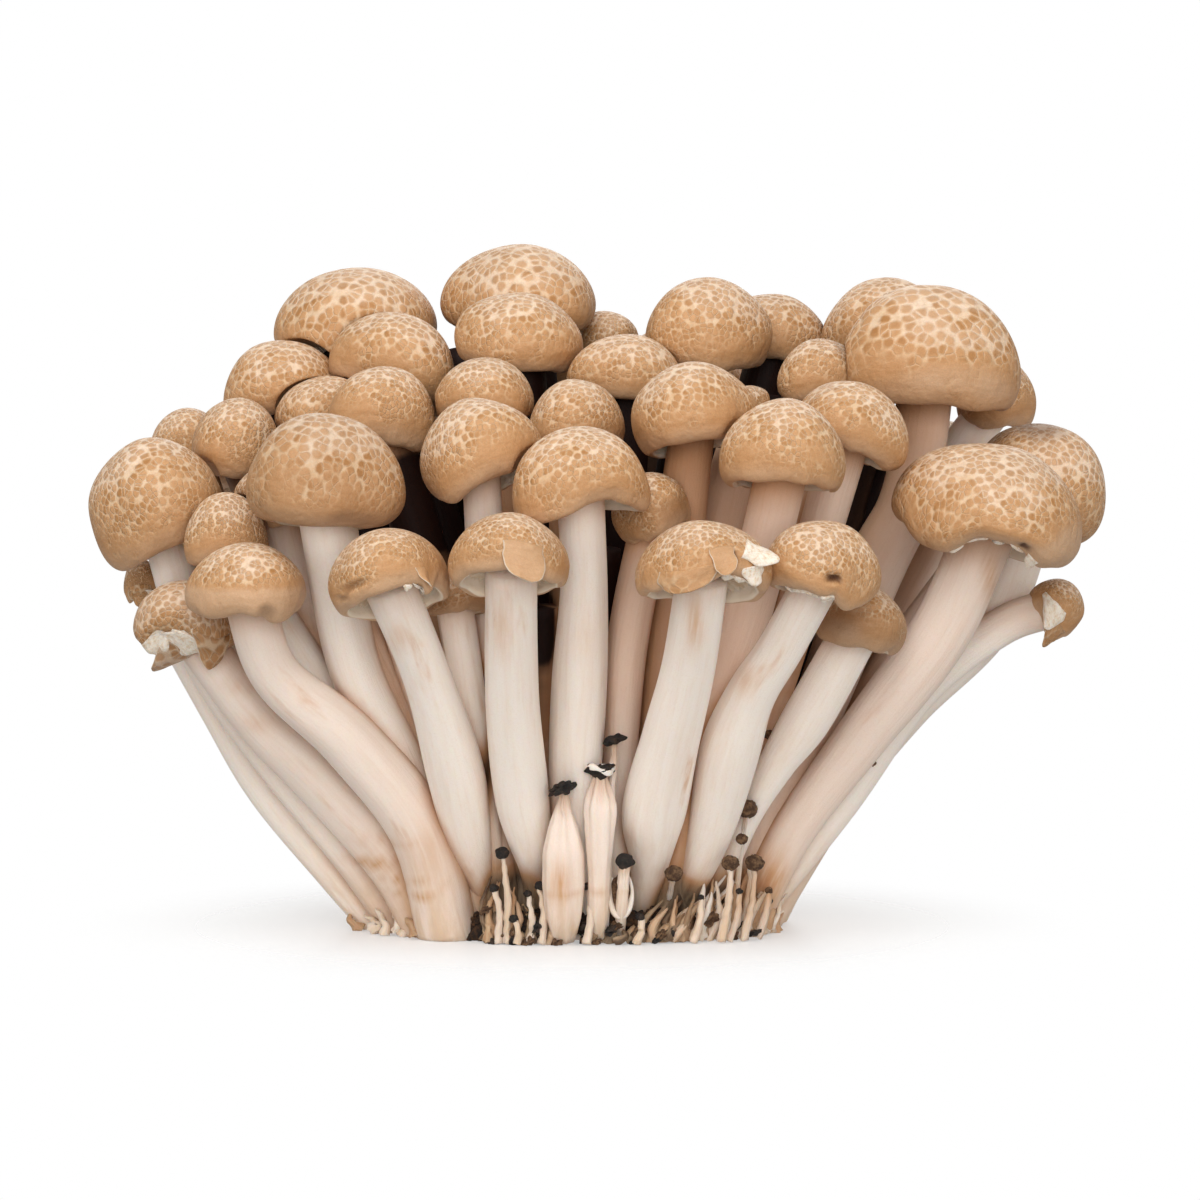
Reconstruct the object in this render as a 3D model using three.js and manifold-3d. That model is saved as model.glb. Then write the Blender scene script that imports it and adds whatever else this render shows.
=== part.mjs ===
// A standing cluster of brown beech mushrooms, cut flat at the foot where it left its growing bed.
// Millimetres, +Z up. The origin is the centre of the flat cut base and -Y is the front of the cluster.
// Every cap is a solid of its own. The stems, the foot they share and the small stalks grew as one
// pale body, and the dark growing bed that is caught between the front stalks is another.

import * as THREE from "three";
import { mergeVertices } from "three/addons/utils/BufferGeometryUtils.js";
import Module from "manifold-3d";

const wasm = await Module();
wasm.setup();

// ---- driving dimensions --------------------------------------------------------------------------

const CLEARANCE = 0.3; // gap between neighbouring solids
const SAME_PLACE = 1e-4; // points closer than this are one
// Detail smaller than this is smoothed away where solids were joined and cut.
const FINEST = { cap: 0.14, stem: 0.25 };
// The solid heart of the foot: its radius at the cut, then [radius, height] upwards, then its top.
const FOOT = { radius: 19, sides: [[18.6, 10], [16, 18], [13, 34]], top: 42, sectors: 18 };
const ROOT_SPREAD = 0.46; // how far out a stem is rooted, as a share of its cap's distance
const ROOT_REACH = 19; // no stem is rooted further out than this

const STEM_SIDES = { seen: 7, hidden: 6 };
const STEM_RINGS = { perSpan: 1, plain: 4 }; // rings between two bends, and along a plain stem
const HIDDEN_ROWS = ["top", "shoulder", "back"]; // their stems are mostly behind others
const STEM_END = { perSkirt: 0.45, gap: 0.7 }; // how far below the cap's middle a stem ends
const STEM_RADIUS = { least: 1.5, perCapRadius: 0.24 };
const STEM_SWELL = [1.2, 1.15, 1.08, 1, 0.9]; // radius along the stem, root to cap
// Bends of a stem, as [outward, upward] shares of its run: upright near the middle of the cluster,
// and fanned out from the foot towards its two wide sides.
const UPRIGHT = { low: [0.03, 0.42], high: [0.67, 0.75] };
const FANNED = {
  left: { low: [0.5, 0.15], high: [0.78, 0.62] },
  right: { low: [0.12, 0.32], high: [0.46, 0.63] },
  from: 37,
  to: 50,
};

const CAP_SECTORS = { small: 10, large: 12, largeFrom: 7 }; // a cap of this radius has more sectors
const PLAIN_ROWS = ["shoulder", "back"]; // except in these rows
const BELT_DROP = 0.28; // how far below its middle a cap is widest, as a share of its skirt
const DOME_RISES = [0, 24, 54]; // degrees around the dome, belt to apex, at which it has a ring
// The rim rolls in from the hem over the lip to the gills, in shares of the cap's radius or skirt.
const RIM = { roll: 0.11, lipDrop: 0.9, flank: { out: 0.75, down: 0.66 } };
const GILLS = { middle: 0.25, inner: 0.38, innerDrop: 0.3, relief: 0.35 };
const GILL_RING = 1; // the ring of the outline whose every other point is a gill ridge
const CAP_WOBBLE = { oval: 0.05, lobes: 0.035, rimDrop: 0.5 };

// Caps by row, each [x, y, z, width, dome, skirt, lean]. The point is the middle of the widest ring,
// the dome rises above that ring, the skirt hangs below it, and the lean is in degrees to the right.
const CAP_ROWS = {
  top: [
    [-27.5, 14, 75, 20.5, 7.4, 3.8, -3],
    [-6.5, 15, 78, 20.5, 7.4, 3.6, 2],
    [4, 20, 73.5, 8.5, 3.3, 2, 0],
    [17, 6, 74.5, 16.5, 6.5, 4.3, 6],
    [26, 18, 74.5, 13, 4.4, 3.3, 12],
    [40, 16, 74.5, 16, 6.6, 3.8, 0],
    [44.5, -2, 71, 24, 9.2, 5.5, 5],
    [54, 14, 66, 10.5, 5, 3.6, 5],
  ],
  shoulder: [
    [-48.5, 8, 60.5, 10, 4.2, 3.3, -10],
    [-41.5, -6, 61, 11.5, 5.2, 4.5, 8],
    [-36.5, 6, 67.5, 15.5, 5.8, 3.3, -12],
    [-31, -2, 65, 12, 3.8, 3, -6],
    [-22, 2, 71, 15.5, 5.8, 4, 14],
    [-6.5, 0, 73.5, 16, 5.7, 3.7, 6],
    [7, -4, 69.5, 14, 4.6, 3.7, 5],
    [22, -10, 66, 5, 1.8, 1.3, 0],
    [31, -4, 69, 11, 4.5, 3, 0],
    [58.5, 0, 55, 17.5, 8, 4, 34],
  ],
  middle: [
    [-51, -14, 53.5, 17.5, 8, 6, -18],
    [-23, -14, 65.5, 13, 4.8, 5, 8],
    [-10.5, -14, 66.5, 12.5, 4.9, 2.7, 0],
    [0.5, -18, 63.5, 12.5, 5.2, 2.7, 0],
    [14.5, -24, 65, 15.5, 5.8, 4.3, -12],
    [34, -20, 63, 14, 5.5, 3.2, 22],
    [51, -18, 51.5, 25, 9.3, 3.4, 15],
    [60.5, -6, 41, 7.5, 2.7, 3.6, 30],
    [-35.5, -20, 54.5, 11, 4.4, 3.4, -5],
    [-53.5, -4, 43.5, 5, 2.7, 2.2, -10],
  ],
  front: [
    [-41.5, -24, 50, 10, 5.2, 3.4, -5],
    [-29.5, -32, 56.5, 18.5, 8.5, 5, 3],
    [-11, -30, 60, 15, 6.7, 4.1, -16],
    [1, -36, 57, 16, 6.5, 3.8, -5],
    [9.5, -27, 53.5, 9.5, 4.2, 3.6, -20],
    [25.5, -32, 60, 15.5, 6.7, 3.9, 3],
    [-14, -30, 43.5, 11, 2.4, 2.6, 0],
  ],
  low: [
    [-46.5, -22, 39.5, 13.5, 5, 2.6, 4],
    [-38.5, -34, 44, 14.5, 5.5, 3, 0],
    [-21.5, -42, 46, 14.5, 5.5, 3.5, -14],
    [-7, -45, 48, 14, 5.5, 3, 0],
    [15.5, -44, 47, 15.5, 5.5, 3, 0],
    [29.5, -40, 46.5, 14, 6, 3, 10],
    [35, -26, 40, 11.5, 4, 3.5, 12],
  ],
  back: [
    [-41, 20, 58, 18, 7, 4, -14],
    [-24, 32, 66, 19, 7.4, 4.2, -6],
    [-5, 34, 69, 20, 7.6, 4.2, 0],
    [14, 33, 68, 18, 7, 4, 4],
    [31, 32, 65, 18, 7, 4, 10],
    [48, 29, 56, 17, 6.6, 4, 18],
    [-34, 39, 50, 17, 6.6, 3.8, -12],
    [-15, 46, 53, 18, 7, 4, -4],
    [5, 47, 53, 18, 6.8, 3.8, 2],
    [24, 45, 50, 18, 6.8, 3.8, 10],
  ],
};

// Degrees that the caps of a row nod towards the front, and single caps that differ. Less than
// none leans a cap back, which lifts its front rim.
const ROW_NODS = { top: 3, shoulder: 0, middle: -4, front: -5, low: -3, back: -9 };
const NODS = {
  cap_low_1: -8,
  cap_low_3: -18,
  cap_low_4: -16,
  cap_low_5: -13,
  cap_front_3: -8,
  cap_front_4: -3,
  cap_middle_5: -7,
  cap_middle_7: -2,
};

// How wide a cap's hem is, as a share of its widest ring.
const COMMON_HEM = 0.77;
const HEMS = {
  cap_front_2: 0.68,
  cap_top_7: 0.83,
  cap_top_4: 0.82,
  cap_front_6: 0.82,
  cap_middle_1: 0.72,
  cap_middle_7: 0.8,
  cap_front_4: 0.84,
  cap_middle_5: 0.8,
  cap_low_3: 0.84,
  cap_low_4: 0.86,
  cap_low_5: 0.86,
  cap_shoulder_10: 0.7,
};

// Stems that bend their own way: the root [x, y], the width there, and bends [x, z, width] from
// below. The depth of a bend goes evenly from the root's to the cap's.
const ROUTES = {
  cap_low_1: { root: [-16.5, -12], foot: 7.6, bends: [[-21.5, 9, 7.4], [-31.5, 20.5, 6.8], [-38, 27, 6]] },
  cap_low_2: { root: [-15, -15], foot: 8, bends: [[-18.5, 14, 7.2], [-26.5, 25, 7], [-35.5, 33.5, 6]] },
  cap_low_3: {
    root: [-8, -11],
    foot: 3,
    bends: [[-11, 7.5, 4], [-12.5, 13, 5.8], [-14, 22, 6.8], [-17, 33.5, 5.8]],
  },
  cap_low_4: {
    root: [-3.5, -12],
    foot: 3,
    bends: [[-4.5, 8, 3.4], [-5, 13, 5.8], [-6, 19, 6.8], [-7, 31, 6]],
  },
  cap_low_5: {
    root: [8, -11],
    foot: 2.4,
    bends: [[9.5, 9, 4.4], [10, 16.5, 7.6], [12, 26, 6.8], [14, 35, 6]],
  },
  cap_low_6: {
    root: [12, -10.5],
    foot: 2.4,
    bends: [[16.5, 12, 4.8], [19, 23.5, 7.2], [21.5, 31, 6.2], [25, 37, 5.6]],
  },
  cap_low_7: { root: [16.5, -9.5], foot: 2.4, bends: [[21, 13.5, 3], [25, 21.5, 4.2], [29, 28, 5.8]] },
  cap_front_2: { root: [-12, -13], foot: 4.6, bends: [[-20.5, 21.5, 6], [-26.5, 35.5, 6.8]] },
  cap_front_3: { root: [-7, -12], foot: 4, bends: [[-9.5, 30, 4.8]] },
  cap_front_4: { root: [0.5, -15], foot: 5, bends: [[0.5, 19, 6.6], [1, 32, 6.8], [1.5, 44, 6]] },
  cap_front_5: { root: [5, -13], foot: 3.6, bends: [[6, 25, 4.6], [7, 38, 4.8]] },
  cap_front_6: { root: [12, -12], foot: 4, bends: [[16, 24, 5.6], [21, 40, 6.4]] },
  cap_front_7: { root: [-8.5, -13], foot: 3, bends: [[-12, 28.5, 4.2]] },
  cap_middle_1: { root: [-21, -8], foot: 4.8, bends: [[-27, 9, 5], [-37, 21.5, 5], [-45.5, 35, 5.2]] },
  cap_middle_5: { root: [8, -10], foot: 4, bends: [[11.5, 36, 5.6]] },
  cap_middle_6: { root: [15, -9], foot: 4, bends: [[26.5, 36.5, 5.4]] },
  cap_middle_7: { root: [21, -9], foot: 5, bends: [[27, 12.5, 5.6], [35.5, 24.5, 6.6], [45, 37.5, 8]] },
  cap_middle_8: { root: [21.5, -5.5], foot: 4, bends: [[33, 15.5, 5], [43, 29.5, 5], [53, 37.5, 4.6]] },
  cap_middle_9: { root: [-14, -10], foot: 4, bends: [[-22, 20, 4.6], [-31, 35.5, 5]] },
  cap_middle_10: {
    root: [-23.5, -5],
    foot: 4.6,
    bends: [[-30, 7.5, 4.6], [-38.5, 17.5, 4.4], [-45, 27.5, 3.2]],
  },
  cap_shoulder_10: { root: [23, -2], foot: 4.6, bends: [[32, 14.5, 5.4], [42, 27.5, 6], [52.5, 39, 6.4]] },
  cap_top_7: { root: [20, -3], foot: 5, bends: [[36, 41, 7], [42, 54, 6.8]] },
};

// Stalks that end below the caps and fill the fan: root x and y, the end's x, y and z, and the width.
const FILLERS = [
  [-21, -8, -44, -9, 36, 4.6],
  [-22, -2, -43, -1, 33, 4.4],
  [-18, -12, -37, -17, 38, 4.8],
  [20, -8, 38, -9, 42, 6],
  [23, -3, 50, -3, 40, 6],
  [24, 1, 50, 2, 46, 6.5],
  [24, 4, 51, 10, 58, 6],
];
const FILLER_BEND = { outward: 0.42, upward: 0.5 }; // where such a stalk bends, in shares of its run
const FILLER_SWELL = [0.9, 1.05, 0.75];

// Torn places: [row, place in the row, offset x, y, z from the cap's middle, radii of the bite].
const TEARS = [
  ["low", 4, [3.2, -7.2, -2.4], [1.5, 3.2, 2.6]],
  ["low", 0, [-4.6, -3.6, -1.6], [2.6, 3, 2.6]],
  ["low", 2, [3.4, -6.2, -3.2], [1.3, 2.6, 2.2]],
  ["middle", 7, [1.2, -3.6, -1.4], [1.6, 2.4, 1.6]],
];

// Small stalks at the foot that never opened: [x, y, z of the dark head, head width, stalk width,
// x of the foot].
const PINS = [
  [-1, -27, 19.5, 3, 4.8, -0.9],
  [3.5, -26.5, 22, 3.4, 4, 3.2],
  [5.2, -25.8, 25.3, 2.6, 1.8, 4.2],
  [6.5, -25, 10.5, 2.2, 3, 6],
  [21.4, -19, 16.3, 2.6, 2.4, 20],
  [12.5, -20.5, 8.5, 2.2, 2.6, 11.6],
];
// How far out a small stalk's root and the knee above it lie, as shares of its head's y, and the
// knee's height.
const PIN_ROOT = 0.4;
const PIN_KNEE = { deep: 0.8, height: 2 };
const PIN_SWELL = [0.8, 1, 0.8, 0.5]; // its radius from root to head
const PIN_HEAD_HEIGHT = 0.42; // half the height of its head, as a share of the head's width
const SUNK = 1; // how far below the cut a stalk starts, so that the cut goes through it

// The dark bed: lumps along an arc inside the front of the base.
const BED = { radius: 17.2, from: -122, to: -44, lumps: 8, height: 1.6, size: [3.4, 4.2] };

const SEEDS = { caps: 7, bed: 23 };
const WASTE = { across: 200, deep: 40 }; // the block below the cut that is taken away

const PALETTE = {
  cap: { color: 0xc99b6c, roughness: 0.62 },
  stem: { color: 0xeadccf, roughness: 0.7 },
  bed: { color: 0x2b1d14, roughness: 0.95 },
  pin: { color: 0x2e2520, roughness: 0.8 },
};

// ---- helpers -------------------------------------------------------------------------------------

const degrees = THREE.MathUtils.degToRad;
const lerp = THREE.MathUtils.lerp;

/** A repeatable source of numbers from 0 to 1. */
function drawer(seed) {
  let state = seed;
  return () => {
    state = (state * 1664525 + 1013904223) % 4294967296;
    return state / 4294967296;
  };
}

/** Turns a closed three.js geometry into a solid that can be cut and joined. */
function toSolid(geometry) {
  const bare = geometry.clone();
  bare.deleteAttribute("normal");
  bare.deleteAttribute("uv");
  const merged = mergeVertices(bare, SAME_PLACE);
  return new wasm.Manifold(
    new wasm.Mesh({
      numProp: 3,
      vertProperties: new Float32Array(merged.attributes.position.array),
      triVerts: new Uint32Array(merged.index.array),
    }),
  );
}

/** Turns a solid back into a three.js geometry. */
function toGeometry(solid) {
  const mesh = solid.getMesh();
  const geometry = new THREE.BufferGeometry();
  geometry.setAttribute("position", new THREE.BufferAttribute(new Float32Array(mesh.vertProperties), 3));
  geometry.setIndex(new THREE.BufferAttribute(new Uint32Array(mesh.triVerts), 1));
  geometry.computeVertexNormals();
  return geometry;
}

/** Joins any number of solids. */
const join = (solids) => solids.reduce((whole, solid) => whole.add(solid));

/** The biggest connected body of a solid. */
const biggest = (solid) =>
  solid.decompose().reduce((best, body) => (body.volume() > best.volume() ? body : best));

/** Keeps the biggest body of a solid, without the crumbs and slivers that cutting leaves. */
const biggestBody = (solid, finest) => biggest(biggest(solid).simplify(finest));

/** Whether two solids' boxes meet. */
function near(one, other) {
  const a = one.boundingBox();
  const b = other.boundingBox();
  return [0, 1, 2].every((k) => a.min[k] < b.max[k] && b.min[k] < a.max[k]);
}

function ellipsoid(radii, centre) {
  const geometry = new THREE.IcosahedronGeometry(1, 1);
  geometry.scale(...radii);
  geometry.translate(...centre);
  return toSolid(geometry);
}

// ---- caps ----------------------------------------------------------------------------------------

/** Outline of a cap from the middle of the gills over the rolled-in rim to the apex. */
function capOutline({ radius, dome, skirt, hem }, grow) {
  const r = radius + grow;
  const belt = -BELT_DROP * skirt;
  const under = [
    [0, -GILLS.middle * skirt - grow],
    [GILLS.inner * radius - grow, -GILLS.innerDrop * skirt - grow],
    [(hem - RIM.roll) * radius - grow, -RIM.lipDrop * skirt - grow],
    [hem * radius + grow, -skirt - grow],
    [lerp(hem, 1, RIM.flank.out) * radius + grow, -RIM.flank.down * skirt],
  ];
  const over = DOME_RISES.map(degrees);
  return [
    ...under.map(([away, z]) => new THREE.Vector2(away, z)),
    ...over.map((a) => new THREE.Vector2(r * Math.cos(a), belt + (dome - belt + grow) * Math.sin(a))),
    new THREE.Vector2(0, dome + grow),
  ];
}

/** One cap, standing where it grew. grow gives the same cap, larger all round by that much. */
function capSolid(cap, grow = 0) {
  const rich = cap.radius >= CAP_SECTORS.largeFrom && !PLAIN_ROWS.includes(cap.row);
  const sectors = rich ? CAP_SECTORS.large : CAP_SECTORS.small;
  const outline = capOutline(cap, grow);
  const geometry = new THREE.LatheGeometry(outline, sectors);
  geometry.rotateX(Math.PI / 2);
  const position = geometry.attributes.position;
  const point = new THREE.Vector3();
  for (let i = 0; i < position.count; i += 1) {
    point.fromBufferAttribute(position, i);
    shapeCapPoint(point, cap, i % outline.length, Math.floor(i / outline.length) % sectors);
    position.setXYZ(i, point.x, point.y, point.z);
  }
  geometry.rotateX(degrees(cap.nod));
  geometry.rotateY(degrees(cap.lean));
  geometry.translate(...cap.at);
  return toSolid(geometry);
}

/** Makes the plan a little oval and lobed, lets the rim wave, and raises gill ridges below. */
function shapeCapPoint(point, cap, ring, sector) {
  const plan = Math.hypot(point.x, point.y);
  if (plan < SAME_PLACE) return;
  const turn = Math.atan2(point.y, point.x);
  const oval = CAP_WOBBLE.oval * Math.cos(2 * (turn - cap.ovalTurn));
  const lobes = CAP_WOBBLE.lobes * Math.cos(3 * (turn - cap.lobeTurn));
  const reach = Math.min(plan / cap.radius, 1) ** 3;
  const ridge = ring === GILL_RING && sector % 2 ? GILLS.relief : 0;
  point.x *= 1 + oval + lobes;
  point.y *= 1 + oval + lobes;
  point.z += CAP_WOBBLE.rimDrop * reach * Math.cos(2 * (turn - cap.lobeTurn)) + ridge;
}

/** Reads the rows of caps into one list with everything that each cap and its stem need. */
function readCaps() {
  const draw = drawer(SEEDS.caps);
  return Object.entries(CAP_ROWS).flatMap(([row, caps]) =>
    caps.map(([x, y, z, width, dome, skirt, lean], place) => {
      const name = `cap_${row}_${place + 1}`;
      return {
        name,
        row,
        place,
        at: [x, y, z],
        radius: width / 2,
        dome,
        skirt,
        lean,
        nod: NODS[name] ?? ROW_NODS[row],
        hem: HEMS[name] ?? COMMON_HEM,
        ovalTurn: draw() * Math.PI,
        lobeTurn: draw() * Math.PI,
      };
    }),
  );
}

/** Cuts each cap by those in front of it, so that crowded caps press against each other. */
function makeCaps(caps) {
  const placed = [];
  const solids = new Map();
  for (const cap of [...caps].sort((a, b) => a.at[1] - b.at[1])) {
    let solid = capSolid(cap);
    const tears = TEARS.filter(([row, place]) => row === cap.row && place === cap.place);
    for (const [, , offset, radii] of tears) {
      solid = solid.subtract(ellipsoid(radii, offset.map((value, k) => value + cap.at[k])));
    }
    for (const other of placed.filter((grown) => near(grown, solid))) solid = solid.subtract(other);
    solids.set(cap.name, biggestBody(solid, FINEST.cap));
    placed.push(capSolid(cap, CLEARANCE));
  }
  return solids;
}

// ---- the pale body -------------------------------------------------------------------------------

/** A value from 0 to 1 along a list of numbers, blended between neighbours. */
function along(values, share) {
  const place = share * (values.length - 1);
  const before = Math.min(Math.floor(place), values.length - 2);
  return lerp(values[before], values[before + 1], place - before);
}

/** A round stalk along a curve whose radii are spread evenly from its root to its end. */
function stalk(curve, radii, sides, rings) {
  const geometry = new THREE.CylinderGeometry(1, 1, 1, sides, rings);
  geometry.rotateX(Math.PI / 2);
  const position = geometry.attributes.position;
  const side = new THREE.Vector3();
  const front = new THREE.Vector3();
  for (let i = 0; i < position.count; i += 1) {
    const share = THREE.MathUtils.clamp(position.getZ(i) + 0.5, 0, 1);
    const centre = curve.getPoint(share);
    const ahead = curve.getTangent(share);
    side.set(0, 1, 0).cross(ahead).normalize();
    front.copy(ahead).cross(side);
    const radius = along(radii, share);
    centre.addScaledVector(side, position.getX(i) * radius);
    centre.addScaledVector(front, position.getY(i) * radius);
    position.setXYZ(i, centre.x, centre.y, centre.z);
  }
  return toSolid(geometry);
}

/** A smooth curve through the given points. */
const curveThrough = (points) =>
  new THREE.CatmullRomCurve3(points.map((point) => new THREE.Vector3(...point)), false, "catmullrom");

/** A stem along its own route, rooted in the foot. */
function routedStem({ root, foot, bends }, tip, sides) {
  const middle = bends.map(([x, z]) => [x, lerp(root[1], tip[1], z / tip[2]), z]);
  const curve = curveThrough([[...root, -SUNK], ...middle, tip]);
  const widths = [foot, ...bends.map(([, , width]) => width)];
  const radii = [...widths, widths.at(-1)].map((width) => width / 2);
  return stalk(curve, radii, sides, STEM_RINGS.perSpan * (bends.length + 1));
}

/** The stem of a cap: it rises from the foot, then leans out to its cap. */
function stemSolid(cap) {
  const [x, y, z] = cap.at;
  const tip = [x, y, z - STEM_END.perSkirt * cap.skirt - STEM_END.gap];
  const sides = HIDDEN_ROWS.includes(cap.row) ? STEM_SIDES.hidden : STEM_SIDES.seen;
  if (ROUTES[cap.name]) return routedStem(ROUTES[cap.name], tip, sides);
  const share = Math.min(ROOT_SPREAD, ROOT_REACH / Math.hypot(x, y));
  const root = [x * share, y * share, -SUNK];
  const fan = THREE.MathUtils.smoothstep(Math.abs(x), FANNED.from, FANNED.to);
  const fanned = x < 0 ? FANNED.left : FANNED.right;
  const bend = (end) => {
    const [outward, upward] = UPRIGHT[end].map((part, k) => lerp(part, fanned[end][k], fan));
    return [outward, outward, upward].map((part, k) => lerp(root[k], tip[k], part));
  };
  const controls = [root, bend("low"), bend("high"), tip].map((point) => new THREE.Vector3(...point));
  const radius = STEM_RADIUS.least + STEM_RADIUS.perCapRadius * cap.radius;
  const radii = STEM_SWELL.map((swell) => swell * radius);
  return stalk(new THREE.CubicBezierCurve3(...controls), radii, sides, STEM_RINGS.plain);
}

/** A stalk that ends below the caps. */
function fillerSolid([rootX, rootY, x, y, z, width]) {
  const { outward, upward } = FILLER_BEND;
  const root = [rootX, rootY, -SUNK];
  const middle = [lerp(rootX, x, outward), lerp(rootY, y, outward), z * upward];
  const radii = FILLER_SWELL.map((swell) => (swell * width) / 2);
  return stalk(curveThrough([root, middle, [x, y, z]]), radii, STEM_SIDES.hidden, STEM_RINGS.plain);
}

/** The short stalk below an unopened head, widest a third of the way up and rooted in the foot. */
function pinStalk([x, y, z, , width, foot], grow = 0) {
  const root = [foot, y * PIN_ROOT, -SUNK];
  const knee = [foot, y * PIN_KNEE.deep, PIN_KNEE.height];
  const radii = PIN_SWELL.map((share) => (share * width) / 2 + grow);
  return stalk(curveThrough([root, knee, [x, y, z]]), radii, STEM_SIDES.hidden, STEM_RINGS.plain);
}

/** The head of an unopened mushroom. grow gives the same head, larger all round by that much. */
function pinHead([x, y, z, width], grow = 0) {
  const radii = [width / 2, width / 2, width * PIN_HEAD_HEIGHT].map((radius) => radius + grow);
  return ellipsoid(radii, [x, y, z]);
}

/** The solid heart of the base that every stem is rooted in. */
function footSolid() {
  const outline = [[0, -SUNK], [FOOT.radius, -SUNK], ...FOOT.sides, [0, FOOT.top]];
  const geometry = new THREE.LatheGeometry(outline.map(([r, z]) => new THREE.Vector2(r, z)), FOOT.sectors);
  geometry.rotateX(Math.PI / 2);
  return toSolid(geometry);
}

/** The dark bed as one body of rough lumps. */
function bedSolid(grow = 0) {
  const draw = drawer(SEEDS.bed);
  const lumps = Array.from({ length: BED.lumps }, (_, i) => {
    const turn = degrees(lerp(BED.from, BED.to, i / (BED.lumps - 1)));
    const radius = lerp(...BED.size, draw()) + grow;
    const reach = BED.radius + draw();
    return ellipsoid([radius, radius, radius], [reach * Math.cos(turn), reach * Math.sin(turn), BED.height]);
  });
  return join(lumps);
}

/** Everything below the plane of the cut. */
function belowTheCut() {
  const block = new THREE.BoxGeometry(WASTE.across, WASTE.across, WASTE.deep);
  block.translate(0, 0, -WASTE.deep / 2);
  return toSolid(block);
}

// ---- the cluster ---------------------------------------------------------------------------------

const cluster = new THREE.Group();

function addMesh(name, solid, finish) {
  const material = new THREE.MeshStandardMaterial({ ...finish, metalness: 0 });
  const mesh = new THREE.Mesh(toGeometry(solid), material);
  mesh.name = name;
  cluster.add(mesh);
}

const caps = readCaps();
for (const [name, solid] of makeCaps(caps)) addMesh(name, solid, PALETTE.cap);

const waste = belowTheCut();
const pins = join(PINS.map((pin) => pinStalk(pin)));
const holes = join(PINS.map((pin) => pinStalk(pin, CLEARANCE))); // where small stalks pass the bed
const stems = join([footSolid(), ...caps.map(stemSolid), ...FILLERS.map(fillerSolid)]);
const takenUp = join([
  waste,
  ...caps.map((cap) => capSolid(cap, CLEARANCE)),
  ...PINS.map((pin) => pinHead(pin, CLEARANCE)),
]);
const pale = stems.subtract(bedSolid(CLEARANCE)).add(pins).subtract(takenUp);
addMesh("stem_cluster", biggestBody(pale, FINEST.stem), PALETTE.stem);
addMesh("growing_bed", biggestBody(bedSolid().subtract(join([waste, holes])), FINEST.stem), PALETTE.bed);
PINS.forEach((pin, i) => addMesh(`pin_head_${i + 1}`, pinHead(pin), PALETTE.pin));

export default cluster;
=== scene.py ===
"""Dresses a standing cluster of brown beech mushrooms.

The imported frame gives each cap, the shared pale body, the dark bed at the foot and the small unopened
heads. Each of them is replaced here by a finely shaped piece that stands where its solid stands.
Lengths in the tables are in millimetres; everything handed to Blender is in metres.
"""

import logging
import math
from dataclasses import dataclass, field
from enum import Enum
from typing import Iterable, Optional, Sequence

import bpy
import numpy as np
from bpy.types import Material, Mesh, Node, NodeSocket, NodeTree, Object
from mathutils import Matrix
from numpy import ndarray


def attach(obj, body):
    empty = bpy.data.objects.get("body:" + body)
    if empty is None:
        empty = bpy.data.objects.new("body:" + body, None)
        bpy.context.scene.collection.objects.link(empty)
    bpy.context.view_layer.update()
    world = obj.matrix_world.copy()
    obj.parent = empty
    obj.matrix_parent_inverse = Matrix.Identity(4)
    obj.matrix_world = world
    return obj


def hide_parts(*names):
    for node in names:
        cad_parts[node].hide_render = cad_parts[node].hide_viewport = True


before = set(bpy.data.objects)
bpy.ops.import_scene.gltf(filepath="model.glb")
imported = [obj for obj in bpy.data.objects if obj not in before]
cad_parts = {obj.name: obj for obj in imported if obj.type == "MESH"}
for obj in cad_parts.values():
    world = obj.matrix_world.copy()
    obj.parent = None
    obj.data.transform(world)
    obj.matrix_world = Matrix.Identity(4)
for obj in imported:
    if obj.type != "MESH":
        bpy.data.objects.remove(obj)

log = logging.getLogger("mushrooms")

Values = float | ndarray
Rows = tuple[tuple[float, ...], ...]

MM = 0.001

# ---- driving dimensions, in millimetres ----

ROOT_SPREAD = 0.46  # how far out a stem is rooted, as a share of its cap's distance
ROOT_REACH = 19.0  # no stem is rooted further out than this
STEM_LEAST = 1.5
STEM_PER_CAP = 0.24
BELT_DROP = 0.28  # how far below its middle a cap is widest, as a share of its skirt
DOME_POWER = 1.06  # above 1 the dome is more pointed than an ellipse
PRESS_GAP = 0.12  # gap left where one cap presses into another
CONTACT_REACH = 1.3  # how near another cap shades a cap
CONTACT_TONE = 0.5  # how dark the painted shade is where caps touch
DOME_ROWS, HEM_ROWS = 30, 13  # rows of a cap's outline over its belt and below it
SKIN_ROWS = DOME_ROWS + HEM_ROWS  # those that are outer skin, from the apex to the hem
HEM_TURN = 82.0  # degrees that the skin has turned inwards at the hem
# The edge of a cap from its skin inwards: how far inside the hem and how low, as a share of the skirt
# and then in millimetres, and how much of it is bare flesh.
LIP = ((0.1, 1.0, 0.02, 0.0), (0.3, 1.0, 0.03, 0.4), (0.5, 0.985, 0.0, 1.0), (0.65, 0.93, 0.0, 1.0),
       (0.7, 0.8, 0.0, 1.0))
CEILING_ROWS = 7
CEILING_INNER = 0.16  # where the ceiling of a cap ends at its stem, as a share of its radius
CEILING_HEIGHTS = (-0.66, 0.12)  # its heights at the rim and there, as shares of the skirt
OVAL, TRIANGLE = 0.05, 0.035  # how much a cap is longer one way, and how three-sided it is
NET_RADIUS = 9.25  # a cap this big has cells of the full size; smaller caps have smaller cells
NET_POWER = 0.75
NET_SHRINK = 0.6  # how much smaller the cells get towards the rim: 0 not at all, 1 fully
NET_GRAIN = 1.25  # how many times finer than the coarsest the spots of most caps are
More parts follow.
